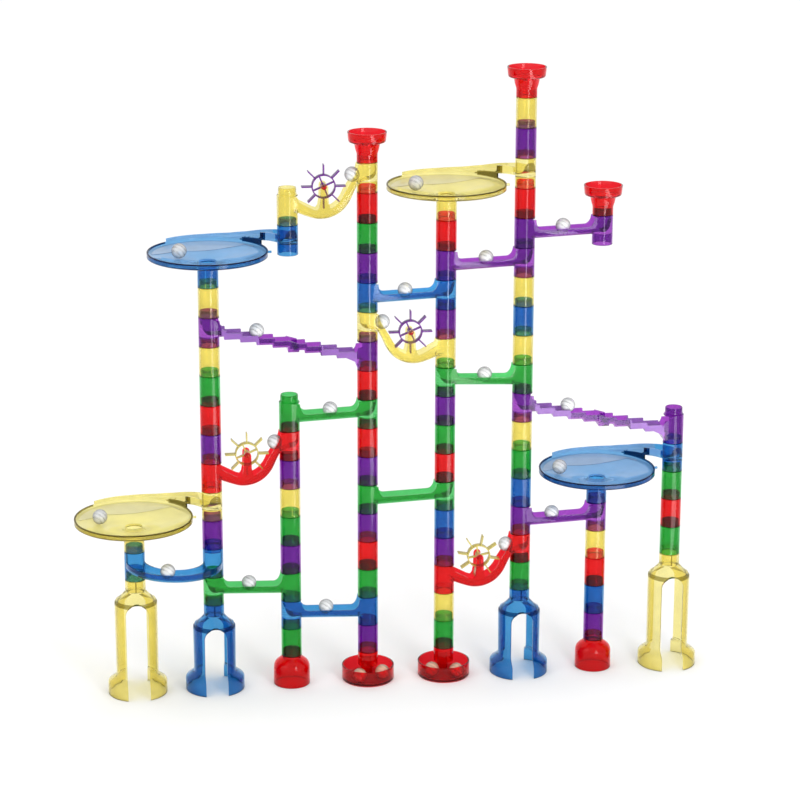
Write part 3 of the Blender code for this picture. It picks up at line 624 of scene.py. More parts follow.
def make_slide(name, start, end, level, colour):
    world = slide_frame(start, end, level)

    def floor(across):
        return ENTRY_FLOOR - FLOOR_DROP * across / SPACING

    rim_middle = floor(SPACING / 2) + WALL_ABOVE_FLOOR
    near_rim = rim_middle + 0.8
    far_rim = rim_middle - 0.8
    near_curve = [
        (17.8 - 7.3 * math.sin(turn), GUSSET_TOP - (GUSSET_TOP - near_rim) * math.cos(turn))
        for turn in [math.radians(step * 11.25) for step in range(9)]
    ]
    far_curve = [
        (SPACING - 17.8 + 7.3 * math.sin(turn), GUSSET_TOP - (GUSSET_TOP - far_rim) * math.cos(turn))
        for turn in [math.radians(90.0 - step * 11.25) for step in range(9)]
    ]
    under = [(2.0, floor(2.0) - FLOOR_THICKNESS), (SPACING - 2.0, floor(SPACING - 2.0) - FLOOR_THICKNESS)]
    top = [(SPACING - 2.0, GUSSET_TOP)] + far_curve + near_curve + [(2.0, GUSSET_TOP)]
    trough = slab(
        name + "_trough", world(under + top), -HALF_TROUGH, HALF_TROUGH, soft_below=3.2, soft_line=world(under)
    )
    inside = [(0.0, floor(0.0)), (SPACING, floor(SPACING))]
    channel = slab(
        name + "_channel", world(inside + [(SPACING, WINDOW_TOP), (0.0, WINDOW_TOP)]),
        -HALF_CHANNEL, HALF_CHANNEL, soft_below=2.4, soft_line=world(inside),
    )
    slide = carved(filled_tube(name, start, level), [
        ("UNION", filled_tube(name + "_far_tube", end, level)),
        ("UNION", trough),
        ("DIFFERENCE", channel),
        ("DIFFERENCE", upper_bore(name + "_bore", start, level, ENTRY_FLOOR)),
        ("DIFFERENCE", socket(name + "_socket", start, level, ENTRY_FLOOR - PLUG)),
        ("DIFFERENCE", open_bore(name + "_far_bore", end, level)),
        ("UNION", entry_ramp(name + "_ramp", world, start, level, ENTRY_FLOOR)),
    ])
    return finished(slide, colour, [name], zones=[entry_zone(start, level, ENTRY_FLOOR)])


def make_curved_slide(name, start, end, level, colour):
    """A half-circle trough that swings out in front of two neighbouring towers."""
    centre = (column_x(start) + column_x(end)) / 2
    radius = SPACING / 2
    floor_middle = level_z(level) + ENTRY_FLOOR - FLOOR_DROP / 2

    def ring(section, first, last):
        """Stations of a section round the curve, from one angle in degrees to another."""
        stations = []
        for step in range(33):
            angle = math.radians(first + (last - first) * step / 32)
            floor = floor_middle - FLOOR_DROP * radius * math.cos(angle) / SPACING
            stations.append([
                (centre + (radius + side) * math.cos(angle), (radius + side) * math.sin(angle), floor + up)
                for side, up in section
            ])
        return stations

    outer = softened([(-10.0, 6.5), (-10.0, -1.5), (10.0, -1.5), (10.0, 6.5)], 3.0)
    outer = [(-10.0, 6.5)] + [p for p in outer if p[1] < 5.0] + [(10.0, 6.5)]
    floor_curve = arc(2.4, 180.0, 270.0, 4, (-6.1, 2.4)) + arc(2.4, 270.0, 360.0, 4, (6.1, 2.4))
    trough = outer + [(8.5, 6.5)] + floor_curve[::-1] + [(-8.5, 6.5)]
    window = [(-8.54, 16.9)] + [(side * 1.004, up - 0.04) for side, up in floor_curve] + [(8.54, 16.9)]
    slide = carved(filled_tube(name, start, level), [
        ("UNION", filled_tube(name + "_far_tube", end, level)),
        ("UNION", swept(name + "_trough", ring(trough, 181.0, 359.0))),
        ("DIFFERENCE", swept(name + "_near_window", ring(window, 180.0, 215.0))),
        ("DIFFERENCE", swept(name + "_far_window", ring(window, 325.0, 360.0))),
        ("DIFFERENCE", upper_bore(name + "_bore", start, level, ENTRY_FLOOR)),
        ("DIFFERENCE", socket(name + "_socket", start, level, ENTRY_FLOOR - PLUG)),
        ("DIFFERENCE", open_bore(name + "_far_bore", end, level)),
    ])
    return finished(slide, colour, [name])


# --- Stairs ---

STAIR_TREADS = 10
STAIR_RUN = 17.0
FIRST_EDGE = 16.5
STAIR_FALL = PITCH / (STAIR_TREADS - 1)
STAIR_FLOOR = 13.6
STAIR_WALL = 5.0
HALVES_MEET = 88.0
COLLAR_START = 82.0
COLLAR_END = 94.0
COLLAR_HALF = 11.6


def tread_floor(tread):
    return STAIR_FLOOR - STAIR_FALL * tread


def stair_line(first, last, start, end, height, shift):
    """Stepped line through treads first to last, offset from the floor, with its edges moved by shift."""
    points = [(start, tread_floor(first) + height)]
    for tread in range(first, last):
        edge = FIRST_EDGE + STAIR_RUN * tread + shift
        points.append((edge, tread_floor(tread) + height))
        points.append((edge, tread_floor(tread + 1) + height))
    points.append((end, tread_floor(last) + height))
    return points


def stair_trough(name, world, first, last, start, end):
    under = stair_line(first, last, start, end, -FLOOR_THICKNESS, -FLOOR_THICKNESS)
    rim = stair_line(first, last, start, end, STAIR_WALL, 1.0)
    return slab(name, world(softened(under + rim[::-1], 0.9)), -HALF_TROUGH, HALF_TROUGH)


def stair_zone(stair, world):
    """Pale on the treads and their walls, away from the tubes and from where the halves overlap."""
    ends = [world([(across, 0.0)])[0][0] for across in (12.5, 52.0, 118.0, 2 * SPACING - 12.5)]
    spans = [sorted(ends[:2]), sorted(ends[2:])]
    body = bmesh.new()
    body.from_mesh(stair.data)
    for x in ends:
        parts = body.verts[:] + body.edges[:] + body.faces[:]
        bmesh.ops.bisect_plane(body, geom=parts, plane_co=(x * MM, 0.0, 0.0), plane_no=(1.0, 0.0, 0.0))
    body.to_mesh(stair.data)
    body.free()

    def zone(spot, normal):
        return OTHER if any(low < spot.x < high for low, high in spans) else WALL
    return zone


def make_stair_upper(name, start, end, joint, colour):
    world = slide_frame(start, end, joint)
    meet = HALVES_MEET - 0.15
    post = [(2.0, 12.0), (12.0, 12.0), (16.5, 16.8)] + arc(6.5, 235.0, 180.0, 6, (17.8, 24.5)) + [(10.6, 29.0), (2.0, 29.0)]
    low = tread_floor(5) - FLOOR_THICKNESS
    collar = softened([
        (COLLAR_START, low - 1.6),
        (COLLAR_END, low - 1.6),
        (COLLAR_END, tread_floor(5) + STAIR_WALL + 0.6),
        (COLLAR_START, tread_floor(4) + STAIR_WALL + 0.6),
    ], 0.8)
    channel = stair_line(0, 5, 0.0, COLLAR_END + 2.0, 0.0, 0.0)
    channel += [(COLLAR_END + 2.0, SKY), (13.0, SKY), (13.0, WINDOW_TOP), (0.0, WINDOW_TOP)]
    seat = low - 0.3
    seat_outline = [(meet, seat), (COLLAR_END + 3.0, seat), (COLLAR_END + 3.0, SKY), (meet, SKY)]
    stair = carved(filled_tube(name, start, joint), [
        ("UNION", stair_trough(name + "_trough", world, 0, 5, 2.0, meet)),
        ("UNION", slab(name + "_post", world(post), -9.8, 9.8)),
        ("UNION", slab(name + "_collar", world(collar), -COLLAR_HALF, COLLAR_HALF)),
        ("DIFFERENCE", slab(name + "_channel", world(channel), -HALF_CHANNEL, HALF_CHANNEL)),
        ("DIFFERENCE", slab(name + "_seat", world(seat_outline), -10.3, 10.3)),
        ("DIFFERENCE", upper_bore(name + "_bore", start, joint, STAIR_FLOOR)),
        ("DIFFERENCE", socket(name + "_socket", start, joint, STAIR_FLOOR - PLUG)),
        ("UNION", entry_ramp(name + "_ramp", world, start, joint, STAIR_FLOOR)),
    ])
    zones = [entry_zone(start, joint, STAIR_FLOOR), stair_zone(stair, world)]
    return finished(stair, colour, [name], kinds=("wall", "deep", "pale"), zones=zones)


def make_stair_lower(name, start, end, joint, colour):
    world = slide_frame(start, end, joint)
    span = 2 * SPACING
    meet = HALVES_MEET + 0.15
    below = -PITCH
    post = [(span - 2.0, below + 5.0), (span - 12.5, below + 5.0), (span - 14.5, below + 11.0),
            (span - 26.0, below + 16.5)]
    post += arc(7.5, 255.0, 360.0, 8, (span - 18.8, below + 26.0)) + [(span - 2.0, below + 27.0)]
    channel = stair_line(5, STAIR_TREADS - 1, meet - 3.0, span, 0.0, 0.0)
    channel += [(span, below + WINDOW_TOP), (span - 13.0, below + WINDOW_TOP), (span - 13.0, SKY), (meet - 3.0, SKY)]
    stair = carved(filled_tube(name, end, joint - 1), [
        ("UNION", stair_trough(name + "_trough", world, 5, STAIR_TREADS - 1, meet, span - 2.0)),
        ("UNION", slab(name + "_post", world(post), -9.8, 9.8)),
        ("DIFFERENCE", slab(name + "_channel", world(channel), -HALF_CHANNEL, HALF_CHANNEL)),
        ("DIFFERENCE", open_bore(name + "_bore", end, joint - 1)),
    ])
    return finished(stair, colour, [name], kinds=("wall", "deep", "pale"), zones=[stair_zone(stair, world)])


# --- Scoops and paddle wheels ---

AXLE_FROM_LOWER_TUBE = 38.0
AXLE_ABOVE_JOINT = 7.5
# Underside of the scoop: distance from the lower tube's axis, height above the joint.
SCOOP_UNDERSIDE = [
    (73.5, 10.6), (69.5, 2.8), (63.5, -9.6), (55.0, -19.0), (43.5, -24.6), (31.0, -25.6), (19.0, -22.2), (9.0, -18.2),
]


def make_scoop(name, upper, lower, joint, colour):
    world = slide_frame(lower, upper, joint)
    above = slide_frame(upper, lower, joint)
    line = smooth_line(SCOOP_UNDERSIDE)
    floor_line = offset_line(line, -FLOOR_THICKNESS)
    rim_line = offset_line(line, -9.0)
    tube_exit = [(2.0, -16.0), (2.0, -PITCH + GUSSET_TOP), (9.5, -PITCH + GUSSET_TOP), (11.0, -7.0)]
    entry = [(69.6, 18.6), (71.4, 22.4), (72.6, 26.4), (73.4, GUSSET_TOP), (SPACING - 2.0, GUSSET_TOP)]
    outline = [(SPACING - 2.0, 13.0)] + line + tube_exit + rim_line[-8:6:-1] + entry
    trough = slab(name + "_trough", world(outline), -HALF_TROUGH, HALF_TROUGH, soft_below=3.0, soft_line=world(line))
    axle_x = AXLE_FROM_LOWER_TUBE
    axle_z = AXLE_ABOVE_JOINT
    arm = arc(3.9, 180.0, 0.0, 10, (axle_x, axle_z))
    arm += [(axle_x + 4.3, -6.0), (axle_x + 5.6, -13.5), (axle_x + 9.5, -19.5)]
    arm += [(axle_x - 9.5, -19.5), (axle_x - 5.6, -13.5), (axle_x - 4.3, -6.0)]
    channel = [(SPACING, ENTRY_FLOOR)] + floor_line + [(0.0, -15.0), (0.0, -PITCH + WINDOW_TOP)]
    channel += [(14.0, -PITCH + WINDOW_TOP), (14.0, SKY), (70.0, SKY), (70.0, WINDOW_TOP), (SPACING, WINDOW_TOP)]
    axle_spot = world([(axle_x, axle_z)])[0]
    scoop = carved(filled_tube(name, upper, joint), [
        ("UNION", filled_tube(name + "_far_tube", lower, joint - 1)),
        ("UNION", trough),
        ("UNION", slab(name + "_arms", world(arm), -9.8, 9.8)),
        ("DIFFERENCE", slab(name + "_channel", world(channel), -HALF_CHANNEL, HALF_CHANNEL)),
        ("DIFFERENCE", rod(name + "_hole", 1.55, 15.0, (axle_spot[0], 0.0, axle_spot[1]))),
        ("DIFFERENCE", upper_bore(name + "_bore", upper, joint, ENTRY_FLOOR)),
        ("DIFFERENCE", socket(name + "_socket", upper, joint, ENTRY_FLOOR - PLUG)),
        ("DIFFERENCE", open_bore(name + "_far_bore", lower, joint - 1)),
        ("UNION", entry_ramp(name + "_ramp", above, upper, joint, ENTRY_FLOOR, start=-0.1)),
    ])
    return finished(scoop, colour, [name], zones=[entry_zone(upper, joint, ENTRY_FLOOR)])


RING_INNER = 11.4
RING_OUTER = 12.7
PADDLE_TIP = 23.3
PADDLES = 8
SPOKES = 4


def make_wheel(key, colour, turned_by):
    """A spoked ring with paddles on a hub and axle; it turns about its joint's axis."""
    name = "wheel_" + key
    joint = next(item for item in frame["joints"] if item["child"] == name)
    x, _, z = [value / MM for value in joint["pos_m"]]
    ring_profile = [(RING_INNER, -3.8), (RING_OUTER, -3.8), (RING_OUTER, 3.8), (RING_INNER, 3.8)]
    wheel = turned(name + "_look", softened(ring_profile, 0.35, 2), sides=64)
    lay = Matrix.Translation(Vector((x, 0.0, z)) * MM) @ Matrix.Rotation(math.radians(90.0), 4, "X")
    wheel.data.transform(lay)
    blades = []
    for number in range(PADDLES):
        blades.append((math.radians(360.0 / PADDLES * number + turned_by), RING_OUTER - 0.6, PADDLE_TIP, 0.65, 3.8))
    for number in range(SPOKES):
        blades.append((math.radians(360.0 / SPOKES * number + turned_by + 22.5), 1.5, RING_INNER + 0.6, 0.75, 1.6))
    steps = []
    for number, (angle, near, far, half, deep) in enumerate(blades):
        outline = softened([(near, -half), (far, -half), (far, half), (near, half)], 0.4, 2)
        points = [
            (x + across * math.cos(angle) - up * math.sin(angle), z + across * math.sin(angle) + up * math.cos(angle))
            for across, up in outline
        ]
        steps.append(("UNION", slab(f"{name}_blade_{number}", points, -deep, deep)))
    steps.append(("UNION", rod(name + "_hub", 3.0, 5.2, (x, 0.0, z))))
    steps.append(("UNION", rod(name + "_axle", 1.3, 9.4, (x, 0.0, z), 16)))
    carved(wheel, steps)

    def axle_zone(spot, normal):
        return OTHER if math.hypot(spot.x - x, spot.z - z) < 1.5 else WALL
    return finished(wheel, colour, [name], body=name, kinds=("thick", "deep", plastic("red", "thick")), zones=[axle_zone])


# --- Bowls ---

BOWL_RADIUS = 63.2
RIM_HEIGHT = 38.5
BOWL_WALL = 1.8
BOWL_FLOOR_EDGE = 35.6
BOWL_FLOOR_CENTRE = 28.2
BOWL_HOLE = 8.8
BOWL_NECK_TOP = 26.0
CHUTE_RADIUS = 93.0
CHUTE_CENTRE_Y = -40.0
# Top edge and floor of the chute: distance right of the bowl's axis, height above the bowl's joint.
CHUTE_TOP = [(-60.0, 41.8), (0.0, 42.2), (25.0, 43.6), (42.0, 46.3), (55.0, 49.6), (73.0, 53.4), (100.0, 54.0)]
CHUTE_FLOOR = [(0.0, 38.9), (22.0, 39.4), (40.0, 41.4), (58.0, 43.9), (73.0, 45.8), (84.0, 46.4), (97.0, 46.4)]


# The rim under the chute's floor.
LIP_TOP = [(across, up - 0.6) for across, up in CHUTE_FLOOR]


def chute_path(centre_x, joint, section_at):
    """Stations from the inlet tube round to the back of the bowl; section_at gives (side, height) points."""
    stations = []
    first = math.atan2(-CHUTE_CENTRE_Y, SPACING)
    for step in range(25):
        angle = first + (math.pi / 2 - first) * step / 24
        across = CHUTE_RADIUS * math.cos(angle)
        stations.append([
            (
                centre_x + (CHUTE_RADIUS + side) * math.cos(angle),
                CHUTE_CENTRE_Y + (CHUTE_RADIUS + side) * math.sin(angle),
                joint + up,
            )
            for side, up in section_at(across)
        ])
    return stations


def chute_solid(across):
    top = height_at(CHUTE_TOP, across)
    floor = height_at(CHUTE_FLOOR, across) - FLOOR_THICKNESS
    return [(-10.0, top), (-10.0, floor + 1.0), (-9.0, floor), (9.0, floor), (10.0, floor + 1.0), (10.0, top)]


def chute_channel(across):
    floor = height_at(CHUTE_FLOOR, across)
    top = PITCH + WINDOW_TOP
    return [(-8.5, top), (-8.5, floor + 1.6), (-6.9, floor), (6.9, floor), (8.5, floor + 1.6), (8.5, top)]


def back_wall(name, centre_x, joint, span, top_table):
    """A raised part of the rim, over a span of degrees."""
    stations = []
    for step in range(25):
        angle = math.radians(span[0] + (span[1] - span[0]) * step / 24)
        across = BOWL_RADIUS * math.cos(angle)
        top = joint + height_at(top_table, across)
        low = joint + RIM_HEIGHT - 1.0
        stations.append([
            (centre_x + radius * math.cos(angle), radius * math.sin(angle), height)
            for radius, height in [
                (BOWL_RADIUS - BOWL_WALL + 0.1, low), (BOWL_RADIUS - 0.1, low),
                (BOWL_RADIUS - 0.1, top - 0.4), (BOWL_RADIUS - 0.5, top),
                (BOWL_RADIUS - BOWL_WALL + 0.5, top), (BOWL_RADIUS - BOWL_WALL + 0.1, top - 0.4),
            ]
        ])
    return swept(name, stations)


def make_ledge(bowl, spot, colour):
    """The frosted strip behind a nearly straight line, where marbles run off the chute."""
    floor = [(24.0, 29.95), (34.0, 31.2), (58.2, 35.07)]
    profile = [(across, up + 0.3) for across, up in floor] + [(across, up + 0.06) for across, up in floor[::-1]]
    ledge = turned(bowl + "_ledge", profile, spot, BIG_SIDES)
    outline = [(-56.0, 6.0), (-28.0, 29.5), (3.0, 32.5), (43.0, 37.5), (50.0, 27.0), (70.0, 27.0), (70.0, 70.0), (-70.0, 70.0), (-70.0, 6.0)]
    behind = slab(bowl + "_behind", [(spot[0] + across, along) for across, along in outline], spot[2] + 20.0, spot[2] + 50.0, upright=False)
    carved(ledge, [("INTERSECT", behind)])

    def edge_zone(point, normal):
        return DEEP if abs(normal.z) < 0.3 else WALL
    return finished(ledge, colour, [bowl], kinds=("frosted", "deep"), zones=[edge_zone])


def make_bowl(key, column, level, colour):
    name = "bowl_" + key
    joint = level_z(level)
    centre_x = column_x(column)
    spot = (centre_x, 0.0, joint)
    inner = BOWL_RADIUS - BOWL_WALL
    profile = [
        (inner, RIM_HEIGHT - 0.4),
        (inner + 0.4, RIM_HEIGHT),
        (BOWL_RADIUS - 0.4, RIM_HEIGHT),
        (BOWL_RADIUS, RIM_HEIGHT - 0.4),
        (BOWL_RADIUS, RIM_HEIGHT - 1.3),
        (BOWL_RADIUS, RIM_HEIGHT - 4.5),
        (BOWL_RADIUS, RIM_HEIGHT - 5.2),
        (BOWL_RADIUS - 0.9, RIM_HEIGHT - 5.9),
        (BOWL_RADIUS - 3.2, RIM_HEIGHT - 6.2),
        (40.0, 29.6),
        (TUBE_RADIUS + 3.0, BOWL_NECK_TOP - 1.1),
        (TUBE_RADIUS - 0.4, BOWL_NECK_TOP - 2.0),
        (BOWL_HOLE + 0.4, BOWL_NECK_TOP - 2.0),
        (BOWL_HOLE + 0.4, BOWL_FLOOR_CENTRE - 0.4),
        (BOWL_HOLE + 1.0, BOWL_FLOOR_CENTRE),
        (34.0, 31.2),
        (inner - 3.0, BOWL_FLOOR_EDGE - 0.5),
        (inner, BOWL_FLOOR_EDGE + 1.2),
    ]
    dish = turned(name + "_look", profile, spot, BIG_SIDES)
    neck = turned(name + "_neck", [
        (0.0, BOWL_NECK_TOP), (TUBE_RADIUS + 0.8, BOWL_NECK_TOP), (TUBE_RADIUS, BOWL_NECK_TOP - 3.0),
        (TUBE_RADIUS, HALF_GAP + 0.3), (TUBE_RADIUS - 0.3, HALF_GAP), (0.0, HALF_GAP),
    ], spot)
    drain = turned(name + "_drain", [
        (0.0, BOWL_NECK_TOP + 9.0), (BOWL_HOLE, BOWL_NECK_TOP + 9.0), (BOWL_HOLE, BOWL_NECK_TOP - 4.0),
        (BORE_RADIUS, BOWL_NECK_TOP - 5.0), (BORE_RADIUS, -4.0), (0.0, -4.0),
    ], spot)
    chute = carved(swept(name + "_chute", chute_path(centre_x, joint, chute_solid)), [
        ("UNION", back_wall(name + "_back", centre_x, joint, (48.0, 129.0), CHUTE_TOP)),
        ("UNION", back_wall(name + "_lip", centre_x, joint, (20.5, 49.0), LIP_TOP)),
        ("DIFFERENCE", turned(
            name + "_inside", [(0.0, 25.0), (inner, 25.0), (inner, 75.0), (0.0, 75.0)], spot, BIG_SIDES,
        )),
    ])
    inlet_floor = CHUTE_FLOOR[-1][1] - PITCH
    inlet_world = slide_frame(column + 1, column + 2, level + 1)
    chute_way = math.atan2(SPACING, CHUTE_CENTRE_Y)
    peg = rod(name + "_peg", 1.3, 2.2, (centre_x + BOWL_RADIUS + 1.2, -3.3, joint + RIM_HEIGHT - 2.4), 16, "X")
    carved(dish, [
        ("UNION", neck),
        ("DIFFERENCE", drain),
        ("UNION", filled_tube(name + "_inlet", column + 1, level + 1)),
        ("UNION", chute),
        ("UNION", peg),
        ("DIFFERENCE", swept(name + "_channel", chute_path(centre_x, joint, chute_channel))),
        ("DIFFERENCE", upper_bore(name + "_bore", column + 1, level + 1, inlet_floor)),
        ("DIFFERENCE", socket(name + "_socket", column + 1, level + 1, inlet_floor - PLUG)),
        ("UNION", entry_ramp(name + "_ramp", inlet_world, column + 1, level + 1, inlet_floor, chute_way)),
    ])
    make_ledge(name, spot, colour)

    def bowl_zone(point, normal):
        """Walls at the neck, the band and the inlet; deep at rims and where the chute's near wall ends."""
        radius = math.hypot(point.x - centre_x, point.y)
        up = point.z - joint
        if abs(radius - inner) < 0.3 and up > RIM_HEIGHT + 0.3 and point.x - centre_x > 51.0 and point.y < 32.0:
            return DEEP
        if BOWL_RADIUS - 2.2 < radius < BOWL_RADIUS + 0.1 and up > RIM_HEIGHT - 1.2 and point.y < 47.0:
            return DEEP
        if BOWL_RADIUS - 3.3 < radius < BOWL_RADIUS + 0.1 and -6.6 < up - RIM_HEIGHT < -4.6 and normal.z < 0.1:
            return DEEP
        if normal.z > 0.9 and up > RIM_HEIGHT + 2.5 and point.x - centre_x > -45.0 and abs(up - 46.0) > 8.5:
            return DEEP
        near_tube = point.x - centre_x > SPACING - 12.0
        return OTHER if up < BOWL_NECK_TOP - 1.0 or radius > BOWL_RADIUS - 0.1 and up < RIM_HEIGHT or near_tube else WALL
    return finished(dish, colour, [name], kinds=("pale", "deep", "wall"), zones=[bowl_zone, entry_zone(column + 1, level + 1, inlet_floor)])


# --- Bases and funnels ---


def neck_outer(joint):
    """Spigot and rim on top of a base, down to its plain neck."""
    return spigot_points(joint) + [(TUBE_RADIUS - 0.3, joint - HALF_GAP), (TUBE_RADIUS, joint - HALF_GAP - 0.3)]


def make_leg(name, column, level, colour):
    joint = level_z(level)
    shoulder = [
        (TUBE_RADIUS, -12.5), (12.2, -14.2), (16.0, -18.4), (19.4, -21.4), (21.2, -22.4), (21.5, -24.4),
        (22.8, -25.2), (23.0, -27.0), (23.0, -30.0),
    ]
    outer = neck_outer(joint) + [(across, joint + up) for across, up in shoulder]
    outer += [(22.6, 24.0), (23.2, 20.5), (25.5, 18.2), (30.6, 14.6), (31.7, 13.0), (31.9, 11.0), (32.0, 0.0)]
    inner = [(30.4, 0.0), (30.2, 10.8), (29.4, 12.6), (24.0, 16.6), (21.8, 19.0), (20.8, 23.0)]
    hollow = [(20.9, -30.0), (20.2, -27.0), (17.6, -23.8), (13.4, -20.0), (10.2, -17.4), (SPIGOT_BORE, -15.0)]
    inner += [(across, joint + up) for across, up in hollow]
    centre = column_x(column)
    leg = turned(name + "_look", outer + inner, (centre, 0.0, 0.0), BIG_SIDES)
    arch_radius = 12.0
    spring = joint - 23.2 - arch_radius
    arch = [(arch_radius, -2.0)] + arc(arch_radius, 0.0, 180.0, 16, (0.0, spring)) + [(-arch_radius, -2.0)]
    seam = [(centre + across, -11.4 if front else -10.75) for across, front in ((-0.3, 1), (0.3, 1), (0.3, 0), (-0.3, 0))]
    carved(leg, [
        ("DIFFERENCE", slab(name + "_arch", [(centre + across, up) for across, up in arch], -40.0, 40.0)),
        ("DIFFERENCE", slab(name + "_seam", seam, joint - 12.0, joint - 0.8, upright=False)),
    ])

    def leg_zone(spot, normal):
        """Deep on the stepped fold of the shoulder and in the seam down the neck."""
        up = spot.z - joint
        radius = math.hypot(spot.x - centre, spot.y)
        fold = 19.5 < radius < 23.1 and -27.2 < up < -22.2
        return DEEP if fold or (abs(spot.x - centre) < 0.35 and -11.0 < spot.y < -10.6 and up < 0.0) else WALL
    return finished(leg, colour, [name], zones=[leg_zone])


def make_round_base(name, column, colour):
    joint = level_z(0)
    outer = neck_outer(joint) + [(TUBE_RADIUS, joint - 1.6)]
    outer += smooth_line([(11.2, joint - 2.4), (14.2, joint - 4.6), (17.6, joint - 7.6), (19.2, joint - 11.0), (19.6, joint - 14.0)], 3)
    outer += [(19.8, 3.0), (19.8, 0.4), (19.4, 0.0)]
    inner = [(18.0, 0.0), (17.8, joint - 14.0), (16.6, joint - 10.0), (14.0, joint - 7.4), (SPIGOT_BORE, joint - 5.0)]
    return finished(turned(name + "_look", outer + inner, (column_x(column), 0.0, 0.0), 64), colour, [name])


def make_catcher(name, column, colour):
    """A dish with a neck whose skirt stops short of the floor, over a cone that turns the marbles out."""
    joint = level_z(0)
    spot = (column_x(column), 0.0, 0.0)
    rim = joint - 16.0
    dish = turned(name + "_look", [
        (0.0, 6.4), (3.0, 5.2), (8.5, 2.2), (25.6, 2.0), (26.7, 3.0), (26.9, rim - 0.4), (27.2, rim), (28.2, rim),
        (28.5, rim - 0.4), (28.5, 1.6), (27.2, 0.0), (0.0, 0.0),
    ], spot, BIG_SIDES)
    neck = turned(name + "_neck", [(0.0, joint + SPIGOT_HEIGHT)] + neck_outer(joint)[1:] + [
        (TUBE_RADIUS, joint - 15.8), (TUBE_RADIUS - 0.4, joint - 16.4), (0.0, joint - 16.4),
    ], spot)
    bore = turned(name + "_bore", [
        (0.0, joint + 12.0), (SPIGOT_BORE, joint + 12.0), (SPIGOT_BORE, joint - 2.0), (BORE_RADIUS - 0.4, joint - 3.4),
        (BORE_RADIUS - 0.4, joint - 22.0), (0.0, joint - 22.0),
    ], spot)
    post = [(spot[0] - 6.0, 8.9), (spot[0] + 6.0, 8.9), (spot[0] + 6.0, 11.6), (spot[0] - 6.0, 11.6)]
    post = slab(name + "_post", softened(post, 0.8), 1.0, joint - 12.0, upright=False)
    carved(dish, [("UNION", neck), ("UNION", post), ("DIFFERENCE", bore)])

    def floor_zone(point, normal):
        """Pale on the dish's floor and cone."""
        return OTHER if point.z < 6.5 and math.hypot(point.x - spot[0], point.y) < 28.0 else WALL
    return finished(dish, colour, [name], kinds=("wall", "deep", "pale"), zones=[floor_zone])


def make_funnel(name, column, level, colour):
    joint = level_z(level)
    outer = [
        (19.2, joint + 31.7), (19.6, joint + 32.0), (20.4, joint + 32.0), (20.7, joint + 31.7), (20.5, joint + 30.0),
        (19.8, joint + 23.0), (19.2, joint + 21.6), (18.2, joint + 21.0), (14.6, joint + 20.6), (13.8, joint + 19.6),
        (12.6, joint + 14.0), (11.2, joint + 9.6), (TUBE_RADIUS, joint + 8.4), (TUBE_RADIUS, joint + 0.45),
        (TUBE_RADIUS - 0.3, joint + HALF_GAP),
    ]
    inner = [
        (BORE_RADIUS + 0.3, joint + HALF_GAP), (BORE_RADIUS, joint + 0.6), (BORE_RADIUS, joint + 8.4),
        (BOWL_HOLE, joint + 9.8), (BOWL_HOLE, joint + 17.0), (9.8, joint + 19.0), (16.6, joint + 22.6), (18.0, joint + 24.0),
    ]
    return finished(turned(name + "_look", outer + inner, (column_x(column), 0.0, 0.0), 64), colour, [name])


# --- Marbles ---

MARBLE_RADIUS = 8.0


def make_marble(name, centre, body, nodes, tint=(0.86, 0.87, 0.88), ribbon=(0.80, 0.82, 0.86), spin=0.0):
    """A clear ball with three twisted vanes of white glass inside."""
    ball_body = bmesh.new()
    bmesh.ops.create_uvsphere(ball_body, u_segments=40, v_segments=24, radius=MARBLE_RADIUS)
    bmesh.ops.translate(ball_body, verts=ball_body.verts, vec=centre)
    ball = placed(name + "_look", ball_body)
    ball.data.materials.append(glass("glass_peach" if ribbon[2] < 0.6 else "glass_clear", tint))
    ball.data.shade_smooth()
    vane_body = bmesh.new()
    for blade in range(3):
        stations = []
        for step in range(13):
            height = -6.2 + 12.4 * step / 12
            reach = 0.8 * math.sqrt(max(MARBLE_RADIUS ** 2 - height ** 2, 0.2)) - 0.6
            angle = math.tau * blade / 3 + math.radians(height * 9.0)
            along = Vector((math.cos(angle), math.sin(angle), 0.0))
            side = Vector((-math.sin(angle), math.cos(angle), 0.0)) * 0.35
            stations.append([along * 0.4 + side, along * reach + side * 0.3, along * reach - side * 0.3, along * 0.4 - side])
            for point in stations[-1]:
                point.z = height
        rows = [[vane_body.verts.new(point) for point in station] for station in stations]
        for near, far in zip(rows, rows[1:]):
            for number in range(4):
                following = (number + 1) % 4
                vane_body.faces.new((near[number], near[following], far[following], far[number]))
        vane_body.faces.new(rows[0][::-1])
        vane_body.faces.new(rows[-1])
    turn = Matrix.Rotation(spin, 4, "Y") @ Matrix.Rotation(spin * 1.7, 4, "X")
    vane_body.transform(Matrix.Translation(centre) @ turn)
    vanes = placed(name + "_vanes", vane_body)
    vanes.data.materials.append(ribbon_material("ribbon_peach" if ribbon[2] < 0.6 else "ribbon_white", ribbon))
    vanes.data.shade_smooth()
    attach(ball, body)
    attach(vanes, body)
    if nodes:
        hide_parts(*nodes)
    return ball


# --- The towers, bottom to top ---

